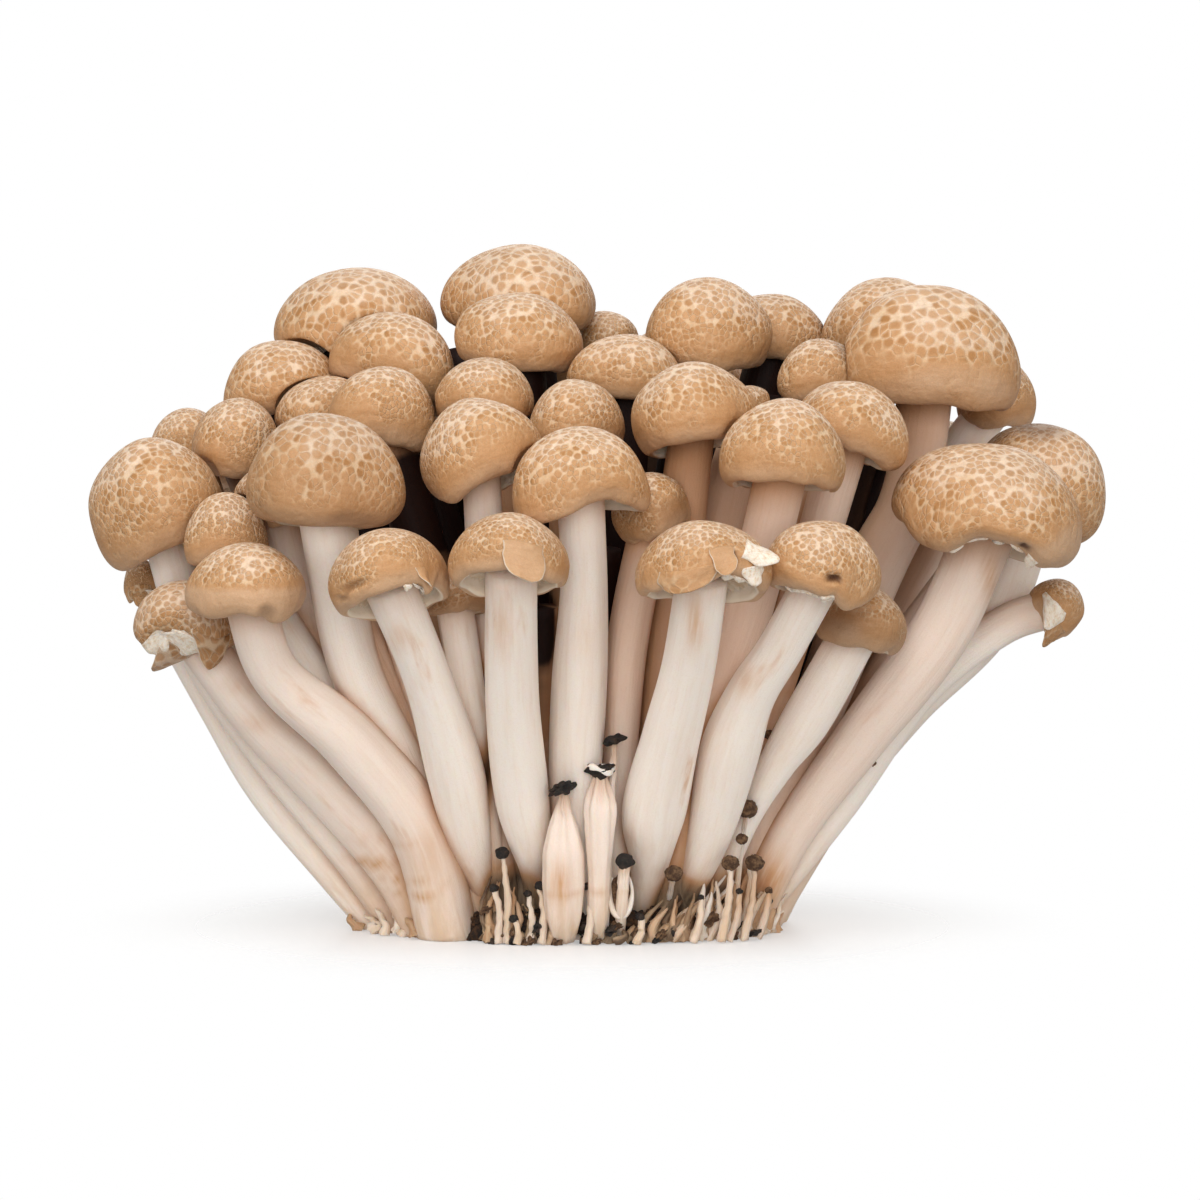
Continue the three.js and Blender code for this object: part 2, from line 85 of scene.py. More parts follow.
# Caps whose spots are coarser or finer than those of most.
NET_GRAINS: dict[str, float] = {
    "front_2": 1.0, "top_7": 1.05, "top_1": 1.1, "top_2": 1.1, "shoulder_5": 1.1, "low_1": 1.05,
    "middle_7": 1.6, "low_3": 1.6, "low_4": 1.6, "low_5": 1.6, "low_6": 1.45, "low_2": 1.4,
}
# How much darker single caps are: partly their own darker skin, partly painted shade on caps that others
# shade, such as front_2 under the caps above it.
TONES: dict[str, float] = {
    "low_1": 0.35, "front_2": 0.4, "low_7": 0.45, "front_7": 0.6, "middle_9": 0.3, "shoulder_8": 0.3,
    "shoulder_9": 0.15, "top_5": 0.25,
}
RIM_WALL = 0.6  # how thick a cap is at its rim
STEM_SEGMENTS, STEM_RINGS, FILLER_RINGS, PIN_RINGS = 28, 56, 36, 48
RIM_POINTS = 40  # points along the pale ring around one small stalk's head
FOOT_SEGMENTS = 144
# The foot from its middle below to its middle above: share of its radius, and height.
FOOT_LEVELS = (
    (0, 0), (0.5, 0), (0.9, 0), (0.98, 0.4), (1.0, 2), (0.98, 6), (0.94, 12), (0.9, 18), (0.8, 26),
    (0.7, 34), (0.4, 39), (0, 41),
)

# Caps by row, each (x, y, z, width, dome, skirt, lean): the middle of the widest ring, the rise of
# the dome above it, the drop of the skirt below it, and the lean to the right in degrees.
CAP_ROWS: dict[str, Rows] = {
    "top": (
        (-27.5, 14, 75, 20.5, 7.4, 3.8, -3),
        (-6.5, 15, 78, 20.5, 7.4, 3.6, 2),
        (4, 20, 73.5, 8.5, 3.3, 2, 0),
        (17, 6, 74.5, 16.5, 6.5, 4.3, 6),
        (26, 18, 74.5, 13, 4.4, 3.3, 12),
        (40, 16, 74.5, 16, 6.6, 3.8, 0),
        (44.5, -2, 71, 24, 9.2, 5.5, 5),
        (54, 14, 66, 10.5, 5, 3.6, 5),
    ),
    "shoulder": (
        (-48.5, 8, 60.5, 10, 4.2, 3.3, -10),
        (-41.5, -6, 61, 11.5, 5.2, 4.5, 8),
        (-36.5, 6, 67.5, 15.5, 5.8, 3.3, -12),
        (-31, -2, 65, 12, 3.8, 3, -6),
        (-22, 2, 71, 15.5, 5.8, 4, 14),
        (-6.5, 0, 73.5, 16, 5.7, 3.7, 6),
        (7, -4, 69.5, 14, 4.6, 3.7, 5),
        (22, -10, 66, 5, 1.8, 1.3, 0),
        (31, -4, 69, 11, 4.5, 3, 0),
        (58.5, 0, 55, 17.5, 8, 4, 34),
    ),
    "middle": (
        (-51, -14, 53.5, 17.5, 8, 6, -18),
        (-23, -14, 65.5, 13, 4.8, 5, 8),
        (-10.5, -14, 66.5, 12.5, 4.9, 2.7, 0),
        (0.5, -18, 63.5, 12.5, 5.2, 2.7, 0),
        (14.5, -24, 65, 15.5, 5.8, 4.3, -12),
        (34, -20, 63, 14, 5.5, 3.2, 22),
        (51, -18, 51.5, 25, 9.3, 3.4, 15),
        (60.5, -6, 41, 7.5, 2.7, 3.6, 30),
        (-35.5, -20, 54.5, 11, 4.4, 3.4, -5),
        (-53.5, -4, 43.5, 5, 2.7, 2.2, -10),
    ),
    "front": (
        (-41.5, -24, 50, 10, 5.2, 3.4, -5),
        (-29.5, -32, 56.5, 18.5, 8.5, 5, 3),
        (-11, -30, 60, 15, 6.7, 4.1, -16),
        (1, -36, 57, 16, 6.5, 3.8, -5),
        (9.5, -27, 53.5, 9.5, 4.2, 3.6, -20),
        (25.5, -32, 60, 15.5, 6.7, 3.9, 3),
        (-14, -30, 43.5, 11, 2.4, 2.6, 0),
    ),
    "low": (
        (-46.5, -22, 39.5, 13.5, 5, 2.6, 4),
        (-38.5, -34, 44, 14.5, 5.5, 3, 0),
        (-21.5, -42, 46, 14.5, 5.5, 3.5, -14),
        (-7, -45, 48, 14, 5.5, 3, 0),
        (15.5, -44, 47, 15.5, 5.5, 3, 0),
        (29.5, -40, 46.5, 14, 6, 3, 10),
        (35, -26, 40, 11.5, 4, 3.5, 12),
    ),
    "back": (
        (-41, 20, 58, 18, 7, 4, -14),
        (-24, 32, 66, 19, 7.4, 4.2, -6),
        (-5, 34, 69, 20, 7.6, 4.2, 0),
        (14, 33, 68, 18, 7, 4, 4),
        (31, 32, 65, 18, 7, 4, 10),
        (48, 29, 56, 17, 6.6, 4, 18),
        (-34, 39, 50, 17, 6.6, 3.8, -12),
        (-15, 46, 53, 18, 7, 4, -4),
        (5, 47, 53, 18, 6.8, 3.8, 2),
        (24, 45, 50, 18, 6.8, 3.8, 10),
    ),
}

# Degrees that the caps of a row nod towards the front, and single caps that differ. Less than none
# leans a cap back, which lifts its front rim.
ROW_NODS: dict[str, float] = {
    "top": 3, "shoulder": 0, "middle": -4, "front": -5, "low": -3, "back": -9,
}
NODS: dict[str, float] = {
    "low_1": -8, "low_3": -18, "low_4": -16, "low_5": -13, "front_3": -8, "front_4": -3, "middle_5": -7,
    "middle_7": -2,
}

# How wide a cap's hem is, as a share of its widest ring, where it isn't the common one.
COMMON_HEM = 0.77
HEMS: dict[str, float] = {
    "front_2": 0.68, "top_7": 0.83, "top_4": 0.82, "front_6": 0.82, "middle_1": 0.72, "middle_7": 0.8,
    "front_4": 0.84, "middle_5": 0.8, "low_3": 0.84, "low_4": 0.86, "low_5": 0.86, "shoulder_10": 0.7,
}


@dataclass(frozen=True)
class Route:
    """Where a stem runs between its root and its cap, seen from the front, in millimetres.

    Attributes:
        root: x and y of its root.
        foot: its width there.
        bends: x, height and width at places between the root and the cap, from below.
    """

    root: tuple[float, float]
    foot: float
    bends: tuple[tuple[float, float, float], ...]


ROUTES: dict[str, Route] = {
    "low_1": Route((-16.5, -12), 7.6, ((-21.5, 9, 7.4), (-31.5, 20.5, 6.8), (-38, 27, 6))),
    "low_2": Route((-15, -15), 8, ((-18.5, 14, 7.2), (-26.5, 25, 7), (-35.5, 33.5, 6))),
    "low_3": Route((-8, -11), 3, ((-11, 7.5, 4), (-12.5, 13, 5.8), (-14, 22, 6.8), (-17, 33.5, 5.8))),
    "low_4": Route((-3.5, -12), 3, ((-4.5, 8, 3.4), (-5, 13, 5.8), (-6, 19, 6.8), (-7, 31, 6))),
    "low_5": Route((8, -11), 2.4, ((9.5, 9, 4.4), (10, 16.5, 7.6), (12, 26, 6.8), (14, 35, 6))),
    "low_6": Route((12, -10.5), 2.4, ((16.5, 12, 4.8), (19, 23.5, 7.2), (21.5, 31, 6.2), (25, 37, 5.6))),
    "low_7": Route((16.5, -9.5), 2.4, ((21, 13.5, 3), (25, 21.5, 4.2), (29, 28, 5.8))),
    "front_2": Route((-12, -13), 4.6, ((-20.5, 21.5, 6), (-26.5, 35.5, 6.8))),
    "front_3": Route((-7, -12), 4, ((-9.5, 30, 4.8),)),
    "front_4": Route((0.5, -15), 5, ((0.5, 19, 6.6), (1, 32, 6.8), (1.5, 44, 6))),
    "front_5": Route((5, -13), 3.6, ((6, 25, 4.6), (7, 38, 4.8))),
    "front_6": Route((12, -12), 4, ((16, 24, 5.6), (21, 40, 6.4))),
    "front_7": Route((-8.5, -13), 3, ((-12, 28.5, 4.2),)),
    "middle_1": Route((-21, -8), 4.8, ((-27, 9, 5), (-37, 21.5, 5), (-45.5, 35, 5.2))),
    "middle_5": Route((8, -10), 4, ((11.5, 36, 5.6),)),
    "middle_6": Route((15, -9), 4, ((26.5, 36.5, 5.4),)),
    "middle_7": Route((21, -9), 5, ((27, 12.5, 5.6), (35.5, 24.5, 6.6), (45, 37.5, 8))),
    "middle_8": Route((21.5, -5.5), 4, ((33, 15.5, 5), (43, 29.5, 5), (53, 37.5, 4.6))),
    "middle_9": Route((-14, -10), 4, ((-22, 20, 4.6), (-31, 35.5, 5))),
    "middle_10": Route((-23.5, -5), 4.6, ((-30, 7.5, 4.6), (-38.5, 17.5, 4.4), (-45, 27.5, 3.2))),
    "shoulder_10": Route((23, -2), 4.6, ((32, 14.5, 5.4), (42, 27.5, 6), (52.5, 39, 6.4))),
    "top_7": Route((20, -3), 5, ((36, 41, 7), (42, 54, 6.8))),
}

# Stalks without a cap that fill the fan behind the outer stems: root x, root y, then x, y, z of the
# end, which other stems hide, the width, and how dark it gets deep inside the cluster.
FILLERS: Rows = (
    (-21, -8, -44, -9, 36, 4.6, 1.5),
    (-22, -2, -43, -1, 33, 4.4, 1.5),
    (-18, -12, -37, -17, 38, 4.8, 0.5),
    (-15, -10, -30, -14, 42, 5, 0.5),
    (-13, -13, -27, -25, 43, 5.5, 0.5),
    (-10, -13, -22, -26, 43, 5.5, 0.5),
    (-8, -14, -14.5, -24, 42, 5, 0.5),
    (16, 4, 41, 12, 60, 7, 1.5),
    (18, 4, 46.5, 12, 70, 7, 1.5),
    (-8, 6, -30.5, 9, 71.4, 5.5, 1.5),
    (8, -11, 20.5, -14, 59.5, 7, 0.5),
    (13, -10, 31, -13.5, 57, 7, 0.5),
    (11, -9, 25.5, -12.5, 55, 6, 0.5),
    (-3, -12, -3.4, -19, 41, 5, 0.8),
    (20, -8, 38, -9, 42, 6, 1.5),
    (23, -3, 50, -3, 40, 6, 1.5),
    (24, 1, 50, 2, 46, 6.5, 1.5),
    (24, 4, 51, 10, 58, 6, 1.5),
    (22, 3, 37, 7, 62, 7, 1.5),
    (20, -1, 32, 1, 58, 6, 1.5),
    (16, -11, 29, -16, 42, 5, 1.3),
    (12, -13, 18, -20, 44, 5, 0.8),
    (3, -13, 4, -20, 48, 5.5, 1.8),
    (-6, -13, -6, -20, 50, 5, 1.8),
    (-14, 3, -33, 8, 62, 7, 1.5),
    (-18, -3, -38, -6, 52, 6, 1.5),
    (-10, -3, -22, -6, 60, 6.5, 1.5),
    (-3, 0, -8, -4, 62, 7, 1.5),
    (4, 1, 5, 0, 64, 7, 1.5),
    (9, 2, 18, 4, 66, 8, 1.5),
    (14, 4, 25, 12, 66, 7, 1.5),
    (-6, 5, -14.5, 12, 72, 6, 1.5),
)

# Discoloured places on the front stems: x, height, half-width and half-height in millimetres, and
# how strong they are.
STAINS: Rows = (
    (-20.3, 38.5, 1.3, 1.7, 0.5),
    (-8, 40, 1.1, 3.6, 0.5),
    (14.6, 40.5, 1, 3.6, 0.7),
    (7, 13, 0.9, 1.8, 0.35),
    (20.8, 33, 1.3, 1.8, 0.45),
    (51, 44.5, 1.1, 3.4, 0.65),
    (-1.3, 7.8, 1.1, 2.6, 0.9),
    (24.5, 7, 2.2, 3.4, 0.9),
    (21, 5.5, 1.6, 2.4, 0.6),
    (-24.5, 9.4, 2.8, 0.7, 0.8),
    (-19.5, 7.4, 3.4, 0.3, 0.9),
    (-19, 5.6, 3.0, 0.25, 0.8),
    (-22, 12.5, 3.6, 0.5, 0.35),
    (-17, 12, 1.6, 4, 0.25),
    (-38, 27, 2, 1.2, 0.35),
    (-12.5, 8, 0.8, 3, 0.3),
    (11.5, 8, 1.6, 1, 0.35),
    (1.5, 38, 1, 3, 0.25),
    (3, 6.6, 9, 0.25, 0.4),
    (-20, 8, 8, 7, 0.22),
    (-40, 31.5, 2.4, 0.8, 0.3),
)

# Deep places between the stems where next to no light gets: x, height, half-width, half-height, how
# dark they are, and how far to the back they begin.
HOLLOWS: Rows = (
    (-17, 53.5, 5, 5.5, 2.2, -21),
    (-10.6, 30, 1.1, 11, 1.7, -24),
    (-3.2, 38.5, 1, 4, 1.5, -30),
    (5.2, 40, 1.6, 7, 1.5, -15),
    (-7, 3, 3.6, 5.4, 1.5, -40),
    (16.6, 2.6, 7, 4.6, 1.2, -40),
    (-14, 44, 5, 3, 0.5, -24),
    (19.5, 63, 4, 3, 0.6, -8),
)

# How dark a row's stems are where they lie deep inside, and single stems that differ.
ROW_SHADE: dict[str, float] = {
    "low": 0.0, "front": 0.35, "middle": 0.6, "shoulder": 1.4, "top": 1.4, "back": 1.4,
}
STEM_SHADE: dict[str, float] = {
    "top_7": 0.7, "front_5": 0.55, "middle_7": 0.0, "shoulder_10": 0.1, "top_8": 0.1,
}
# Stems that are darker and warmer all along: painted shade on stems that caps and neighbours shade, such as
# front_6 under the middle caps, and a warmer tone on a few.
STEM_SHADE_AND_TINT: dict[str, float] = {
    "low_2": 0.18, "low_1": 0.18, "middle_7": 0.24, "middle_1": 0.1, "front_6": 0.32, "middle_5": 0.1,
    "front_5": 0.1,
}
CREVICE_REACH = 2.2  # how near another stem's flesh shades a stem
CREVICE_SHADE = 0.4  # how dark it gets there
UNDER_CAP_REACH = 7.0  # how far down a stem its own cap shades it
UNDER_CAP_SHADE = 0.3

# Small stalks at the foot that never opened: x, y, z of the dark head, head width, stalk width and
# the x of the stalk's foot.
PINS: Rows = (
    (-1, -27, 19.5, 3, 4.8, -0.9),
    (3.5, -26.5, 22, 3.4, 4, 3.2),
    (5.2, -25.8, 25.3, 2.6, 1.8, 4.2),
    (6.5, -25, 10.5, 2.2, 3, 6),
    (21.4, -19, 16.3, 2.6, 2.4, 20),
    (12.5, -20.5, 8.5, 2.2, 2.6, 11.6),
)
# How far out a small stalk's root and the knee above it lie, as shares of its head's y, and the
# knee's height.
PIN_ROOT = 0.4
PIN_KNEE = (0.8, 2.0)
PIN_SHADE = 0.2  # painted shade that makes a small stalk a little darker than a stem


class PinShape(Enum):
    """Half-width of a small stalk by height, as shares of its greatest half-width and of its length."""

    SPINDLE = (
        (0, 0.1, 0.2, 0.4, 0.6, 0.75, 0.87, 0.95, 1), (0.45, 0.7, 0.88, 1, 0.97, 0.68, 0.36, 0.2, 0.2),
    )
    CLUB = ((0, 0.2, 0.4, 0.6, 0.76, 0.86, 0.94, 1), (0.5, 0.62, 0.66, 0.84, 0.96, 0.72, 0.36, 0.3))
    SLIM = ((0, 0.5, 1), (0.4, 0.5, 0.42))
    HIDDEN = ((0, 1), (0.3, 0.22))


PIN_SHAPES = (
    PinShape.SPINDLE, PinShape.CLUB, PinShape.SLIM, PinShape.SLIM, PinShape.HIDDEN, PinShape.HIDDEN,
)
SKIRTING = (28.0, 22.6)  # half-width and half-depth of the line that the strands stand on
STRAND_RINGS = 24
CRUMB_COUNT = 26
MURK = 0.5  # how much darker the strands are that stand in the bed, left of its right-hand end: partly painted shade down in the bed
HEAD_STALK_LOWEST, HEAD_STALK_HIGHEST = 3.0, 11.5  # small heads between these heights have a thin stalk
POCKET = (6.0, -22.6, 6.4)  # the middle of the brown pocket between two small stalks


class HeadKind(Enum):
    """What became of an unopened head, and how rough that makes it, as a share of its size."""

    TORN = 0.4
    RING = 0.28
    FLAT = 0.22
    ROUND = 0.1
    FUZZY = 0.07


PIN_HEADS = (HeadKind.TORN, HeadKind.RING, HeadKind.FLAT, HeadKind.ROUND, HeadKind.FUZZY, HeadKind.FUZZY)


@dataclass(frozen=True)
class Head:
    """A head of an unopened mushroom that peeps out between the stems."""

    at: tuple[float, float, float]
    width: float
    kind: HeadKind = HeadKind.ROUND


HEADS: tuple[Head, ...] = (
    Head((-8.4, -22, 11.2), 1.7),
    Head((-9.4, -21.5, 6.8), 1.2),
    Head((-3.8, -22.4, 7.2), 1.3),
    Head((-5.3, -22, 6.2), 1),
    Head((2, -23, 7.2), 1.1),
    Head((19.4, -20.5, 9.8), 2.1, HeadKind.FUZZY),
    Head((22.4, -18.5, 9.6), 2.3, HeadKind.FUZZY),
    Head((20.8, -19.2, 12.6), 1.5, HeadKind.FUZZY),
    Head((24.2, -17, 25.2), 1.3, HeadKind.FUZZY),
    Head((42.4, -9, 28.6), 1, HeadKind.FUZZY),
    Head((37.2, -8, 21), 1.2, HeadKind.FUZZY),
    Head((20.5, -19.5, 6.2), 0.9),
    Head((15.8, -20.5, 5.6), 0.8),
    Head((24.2, -16.5, 6), 1, HeadKind.FUZZY),
    Head((22.4, -17.5, 0.9), 1.6, HeadKind.FLAT),
    Head((8.4, -22.5, 3.4), 1.1),
    Head((-7, -22.6, 3.2), 1.2),
)


@dataclass(frozen=True)
class StrandRow:
    """A row of thin strands at the front of the foot.

    Attributes:
        name: the row's name.
        span: where it starts and ends, as x.
        heights: how high it is at its start and near its end.
        count: how many strands it has.
        splay: how far their tips lean to the right.
        in_bed: whether they are darkened low in the bed, partly by painted shade.
    """

    name: str
    span: tuple[float, float]
    heights: tuple[float, float]
    count: int
    splay: float
    in_bed: bool = True


STRAND_ROWS = (
    StrandRow("right", (9.5, 25), (4.5, 9.5), 62, 1.7),
    StrandRow("left", (-10.4, -2), (8.5, 5), 26, 0.2),
    StrandRow("middle", (1.6, 8.6), (3.5, 3.5), 8, 0.2),
    StrandRow("edge", (-26, -15), (3, 4.5), 9, -0.8, in_bed=False),
)


# ---- small helpers ----


@dataclass
class Drawer:
    """The same repeatable draws as the solid model makes, so that shapes agree with it.

    Attributes:
        state: the seed at first, and then where the row of draws has come to.
        factor, shift, span: the numbers that lead from one state to the next.
    """

    state: int
    factor: int = 1664525
    shift: int = 1013904223
    span: int = 2**32

    def __call__(self) -> float:
        """The next draw, from 0 to 1."""
        self.state = (self.state * self.factor + self.shift) % self.span
        return self.state / self.span


def smooth(low: float, high: float, value: Values) -> Values:
    """Rises smoothly from 0 at low to 1 at high, for numbers and arrays alike."""
    share = np.clip((np.asarray(value, float) - low) / (high - low), 0, 1)
    return share * share * (3 - 2 * share)


def mix(low: Values, high: Values, share: Values) -> Values:
    """Linear blend from low to high."""
    return low + (high - low) * share


def linear(hex_code: str) -> tuple[float, float, float, float]:
    """Turns an sRGB hex colour into the linear colour that shaders take."""
    channels = [int(hex_code[i : i + 2], 16) / 255 for i in (0, 2, 4)]
    return tuple([c / 12.92 if c <= 0.04045 else ((c + 0.055) / 1.055) ** 2.4 for c in channels] + [1.0])


def ripple(points: ndarray, wave_mm: float, seed: int, waves: int = 9) -> ndarray:
    """Soft random relief between about -1 and 1 with the given wavelength.

    Args:
        points: positions in millimetres, one per row.
        wave_mm: distance from crest to crest.
        seed: picks one relief out of many.
        waves: how many waves are summed.

    Returns:
        One value per point.
    """
    rng = np.random.default_rng(seed)
    directions = rng.normal(size=(waves, 3))
    directions /= np.linalg.norm(directions, axis=1)[:, None]
    pace = 2 * math.pi / wave_mm * rng.uniform(0.7, 1.35, waves)
    phase = rng.uniform(0, 2 * math.pi, waves)
    total = np.sin((points @ directions.T) * pace + phase).sum(axis=1)
    return total / math.sqrt(waves) * 0.8


def grid_faces(rings: int, segments: int) -> list[tuple[int, ...]]:
    """Quads between rings of points that run around, the first ring first."""
    return [
        (i * segments + j, i * segments + (j + 1) % segments,
         (i + 1) * segments + (j + 1) % segments, (i + 1) * segments + j)
        for i in range(rings - 1)
        for j in range(segments)
    ]


def build_piece(
    name: str,
    points_mm: ndarray,
    faces: Iterable[Sequence[int]],
    material: Material,
    attributes: Optional[dict[str, ndarray]] = None,
) -> Object:
    """Makes a smooth-shaded object at the origin from points in millimetres.

    Args:
        name: the piece's name.
        points_mm: one row per vertex.
        faces: vertex indices of each face.
        material: its only material.
        attributes: values per vertex that its material reads, as numbers or vectors.

    Returns:
        The new object, already linked to the scene.
    """
    mesh = bpy.data.meshes.new(name)
    mesh.from_pydata((np.asarray(points_mm) * MM).tolist(), [], [list(face) for face in faces])
    mesh.shade_smooth()
    for key, values in (attributes or {}).items():
        store_attribute(mesh, key, np.asarray(values, np.float32))
    mesh.materials.append(material)
    piece = bpy.data.objects.new(name, mesh)
    bpy.context.scene.collection.objects.link(piece)
    return piece


def store_attribute(mesh: Mesh, key: str, values: ndarray) -> None:
    """Stores one number or one vector per vertex."""
    kind, slot = ("FLOAT", "value") if values.ndim == 1 else ("FLOAT_VECTOR", "vector")
    mesh.attributes.new(key, kind, "POINT").data.foreach_set(slot, values.ravel())


def read_points(mesh: Mesh) -> ndarray:
    """A mesh's points in metres, one per row."""
    points = np.empty((len(mesh.vertices), 3))
    mesh.vertices.foreach_get("co", points.ravel())
    return points


def write_points(mesh: Mesh, points: ndarray) -> None:
    """Moves a mesh's points to places in metres."""
    mesh.vertices.foreach_set("co", points.ravel())


def place(piece: Object, slot: str, *nodes: str) -> Object:
    """Lets a piece ride on the cluster and hides the solids that it stands for.

    Args:
        piece: the finished piece.
        slot: the name of its finish; not used.
        *nodes: the solids that it stands for.

    Returns:
        The same piece.
    """
    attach(piece, "root")
    if nodes:
        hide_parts(*nodes)
    log.info("made %s with %d vertices", piece.name, len(piece.data.vertices))
    return piece


# ---- materials ----

# Places reach the nodes of a mushroom in millimetres, so a noise's Scale is its grains per millimetre.
# Real pores and felt are finer than a picture shows, so they are drawn about 0.2 mm wide.

# The kinds of node and the settings that come up again and again.
MATHS, VECTORS, RANGE = "ShaderNodeMath", "ShaderNodeVectorMath", "ShaderNodeMapRange"
BLEND, NOISE, STORED = "ShaderNodeMix", "ShaderNodeTexNoise", "ShaderNodeAttribute"
MAPPING, BUMP, XYZ = "ShaderNodeMapping", "ShaderNodeBump", "ShaderNodeCombineXYZ"
RANDOM, STREW = "FunctionNodeRandomValue", "GeometryNodeInstanceOnPoints"
ADD, SUBTRACT, MULTIPLY, MAXIMUM, SCALE = (
    {"operation": name} for name in ("ADD", "SUBTRACT", "MULTIPLY", "MAXIMUM", "SCALE")
)
SMOOTH = {"interpolation_type": "SMOOTHSTEP"}
MIXED = {"data_type": "RGBA", "blend_type": "MIX", "clamp_factor": True}
DARKENED = {"data_type": "RGBA", "blend_type": "MULTIPLY", "clamp_factor": True}


@dataclass
class NodeSheet:
    """A material's or a geometry tree's nodes, with one short way to add and link them."""

    tree: NodeTree

    def add(self, kind: str, settings: Optional[dict] = None, *first: object, out: int | str = 0,
            **inputs: object) -> NodeSocket | Node:
        """Adds a node with its settings and its links.

        Args:
            kind: the node's type name.
            settings: properties of the node itself.
            *first: values or sockets for its first inputs, in their order.
            out: number or name of the output that is handed back.
            **inputs: values or sockets for other inputs, as feed takes them.

        Returns:
            One of its outputs, or the node itself where it has none.
        """
        node = self.tree.nodes.new(kind)
        for key, value in (settings or {}).items():
            setattr(node, key, value)
        self.feed(node, **{f"i{index}": value for index, value in enumerate(first)}, **inputs)
        return node.outputs[out] if node.outputs else node

    def feed(self, node: Node, **inputs: object) -> None:
        """Gives a node's inputs, by name with _ for a space or by i and number, their values or links."""
        for key, value in inputs.items():
            numbered = key[0] == "i" and key[1:].isdigit()
            socket = node.inputs[int(key[1:]) if numbered else key.replace("_", " ")]
            if isinstance(value, NodeSocket):
                self.tree.links.new(value, socket)
            else:
                socket.default_value = value


def wandered(sheet: NodeSheet, places: NodeSocket, scale: float, reach: float) -> NodeSocket:
    """Moves places about by a soft random amount and returns them.

    Args:
        sheet: the nodes to add to.
        places: the places to move.
        scale: grains per millimetre.
        reach: how far they move, in millimetres.

    Returns:
        The moved places.
    """
    add = sheet.add
    drift = add(NOISE, None, places, Scale=scale, Detail=2.0, out=1)
    shift = add(VECTORS, SCALE, add(VECTORS, SUBTRACT, drift, (0.5, 0.5, 0.5)), Scale=reach)
    return add(VECTORS, ADD, places, shift)


@dataclass(frozen=True)
class CapFinish:
    """The look of a cap's skin.

    Attributes:
        spot: colour of the sunken spots.
        spot_dark: colour of the darkest of them and of the specks in the plain band.
        net: colour of the net on top of a cap, partly paler as painted light on the lit top.
        net_low: colour of the net lower down.
        skirt: colour of the plain band under the net.
        rim: colour of the lowest edge.
        inside: colour of the flesh within the rim.
        bruise_and_shade: colour of real bruising and of painted shade where caps touch, on caps that others
            shade, and in holes and creases.
        cell_mm: from spot to spot on a big cap.
        dimple_mm: how deep the spots are.
        roughness: how dull the skin is.
        shine: how strongly it mirrors, where 0.5 is plain plastic.
    """

    spot: str = "C99A6D"
    spot_dark: str = "A97642"
    net: str = "ECD4BA"
    net_low: str = "DAB993"
    skirt: str = "C29366"
    rim: str = "CDA885"
    inside: str = "EADBC6"
    bruise_and_shade: str = "58341A"
    cell_mm: float = 1.5
    dimple_mm: float = 0.1
    roughness: float = 0.5
    shine: float = 0.3


@dataclass(frozen=True)
class StemFinish:
    """The look of the pale flesh of stems and foot.

    Attributes:
        flesh: the main colour.
        shade: colour of its finest strands and hollows.
        stain: colour of old handling marks.
        foot: colour near the ground.
        crevice: colour of painted shade between stems, under caps, deep inside and on stems that others
            shade.
        hollow: colour of the darkest painted shade, in the deepest places.
        roughness: how dull the flesh is.
        shine: how strongly it mirrors.
    """

    flesh: str = "FFF3E8"
    shade: str = "EED7C3"
    stain: str = "D09A62"
    foot: str = "D6B795"
    crevice: str = "C79F7C"
    hollow: str = "2A150A"
    roughness: float = 0.62
    shine: float = 0.25


@dataclass(frozen=True)
class TornFinish:
    """The look of bare flesh where a cap is torn."""

    bright: str = "FFF0DF"
    dull: str = "E6C8A8"
    fibre_mm: float = 0.2  # how far the fibres stand out
    roughness: float = 0.6


@dataclass(frozen=True)
class GillFinish:
    """The look of the gills."""

    bright: str = "EFE0CB"
    dull: str = "D9BE9C"
    grains_per_m: float = 900.0
    roughness: float = 0.6


@dataclass(frozen=True)
class DarkFinish:
    """The look of dried or crumbly dark matter: its name, two colours, its grain and its dullness."""

    name: str
    low: str
    high: str
    grains_per_m: float
    roughness: float


DRIED_HEAD = DarkFinish("pin_head", "15100D", "3A2B21", 900.0, 0.75)
FUZZY_HEAD = DarkFinish("fuzzy_head", "4A3322", "8A6A4C", 1500.0, 0.95)
GROWING_BED = DarkFinish("bed", "120B08", "54381F", 620.0, 0.95)


@dataclass(frozen=True)
class FloorFinish:
    """The look of the floor, which is solid under the cluster and clear from solid_mm to clear_mm."""

    paper: str = "FCFCFC"
    solid_mm: float = 22.0
    clear_mm: float = 66.0
    least_clear: float = 0.35
    roughness: float = 0.4
    shine: float = 0.08


def new_material(name: str) -> tuple[Material, NodeSheet, Node]:
    """Makes an empty material with its output and its main shader."""
    material = bpy.data.materials.new(name)
    material.use_nodes = True
    material.node_tree.nodes.clear()
    sheet = NodeSheet(material.node_tree)
    shader = sheet.add("ShaderNodeBsdfPrincipled").node
    sheet.add("ShaderNodeOutputMaterial", None, Surface=shader.outputs[0])
    return material, sheet, shader


def flesh_of(weight: float, radius_mm: tuple[float, float, float]) -> dict[str, object]:
    """The shader's inputs that let light scatter below a surface."""
    return {"Subsurface_Weight": weight, "Subsurface_Radius": radius_mm, "Subsurface_Scale": MM}


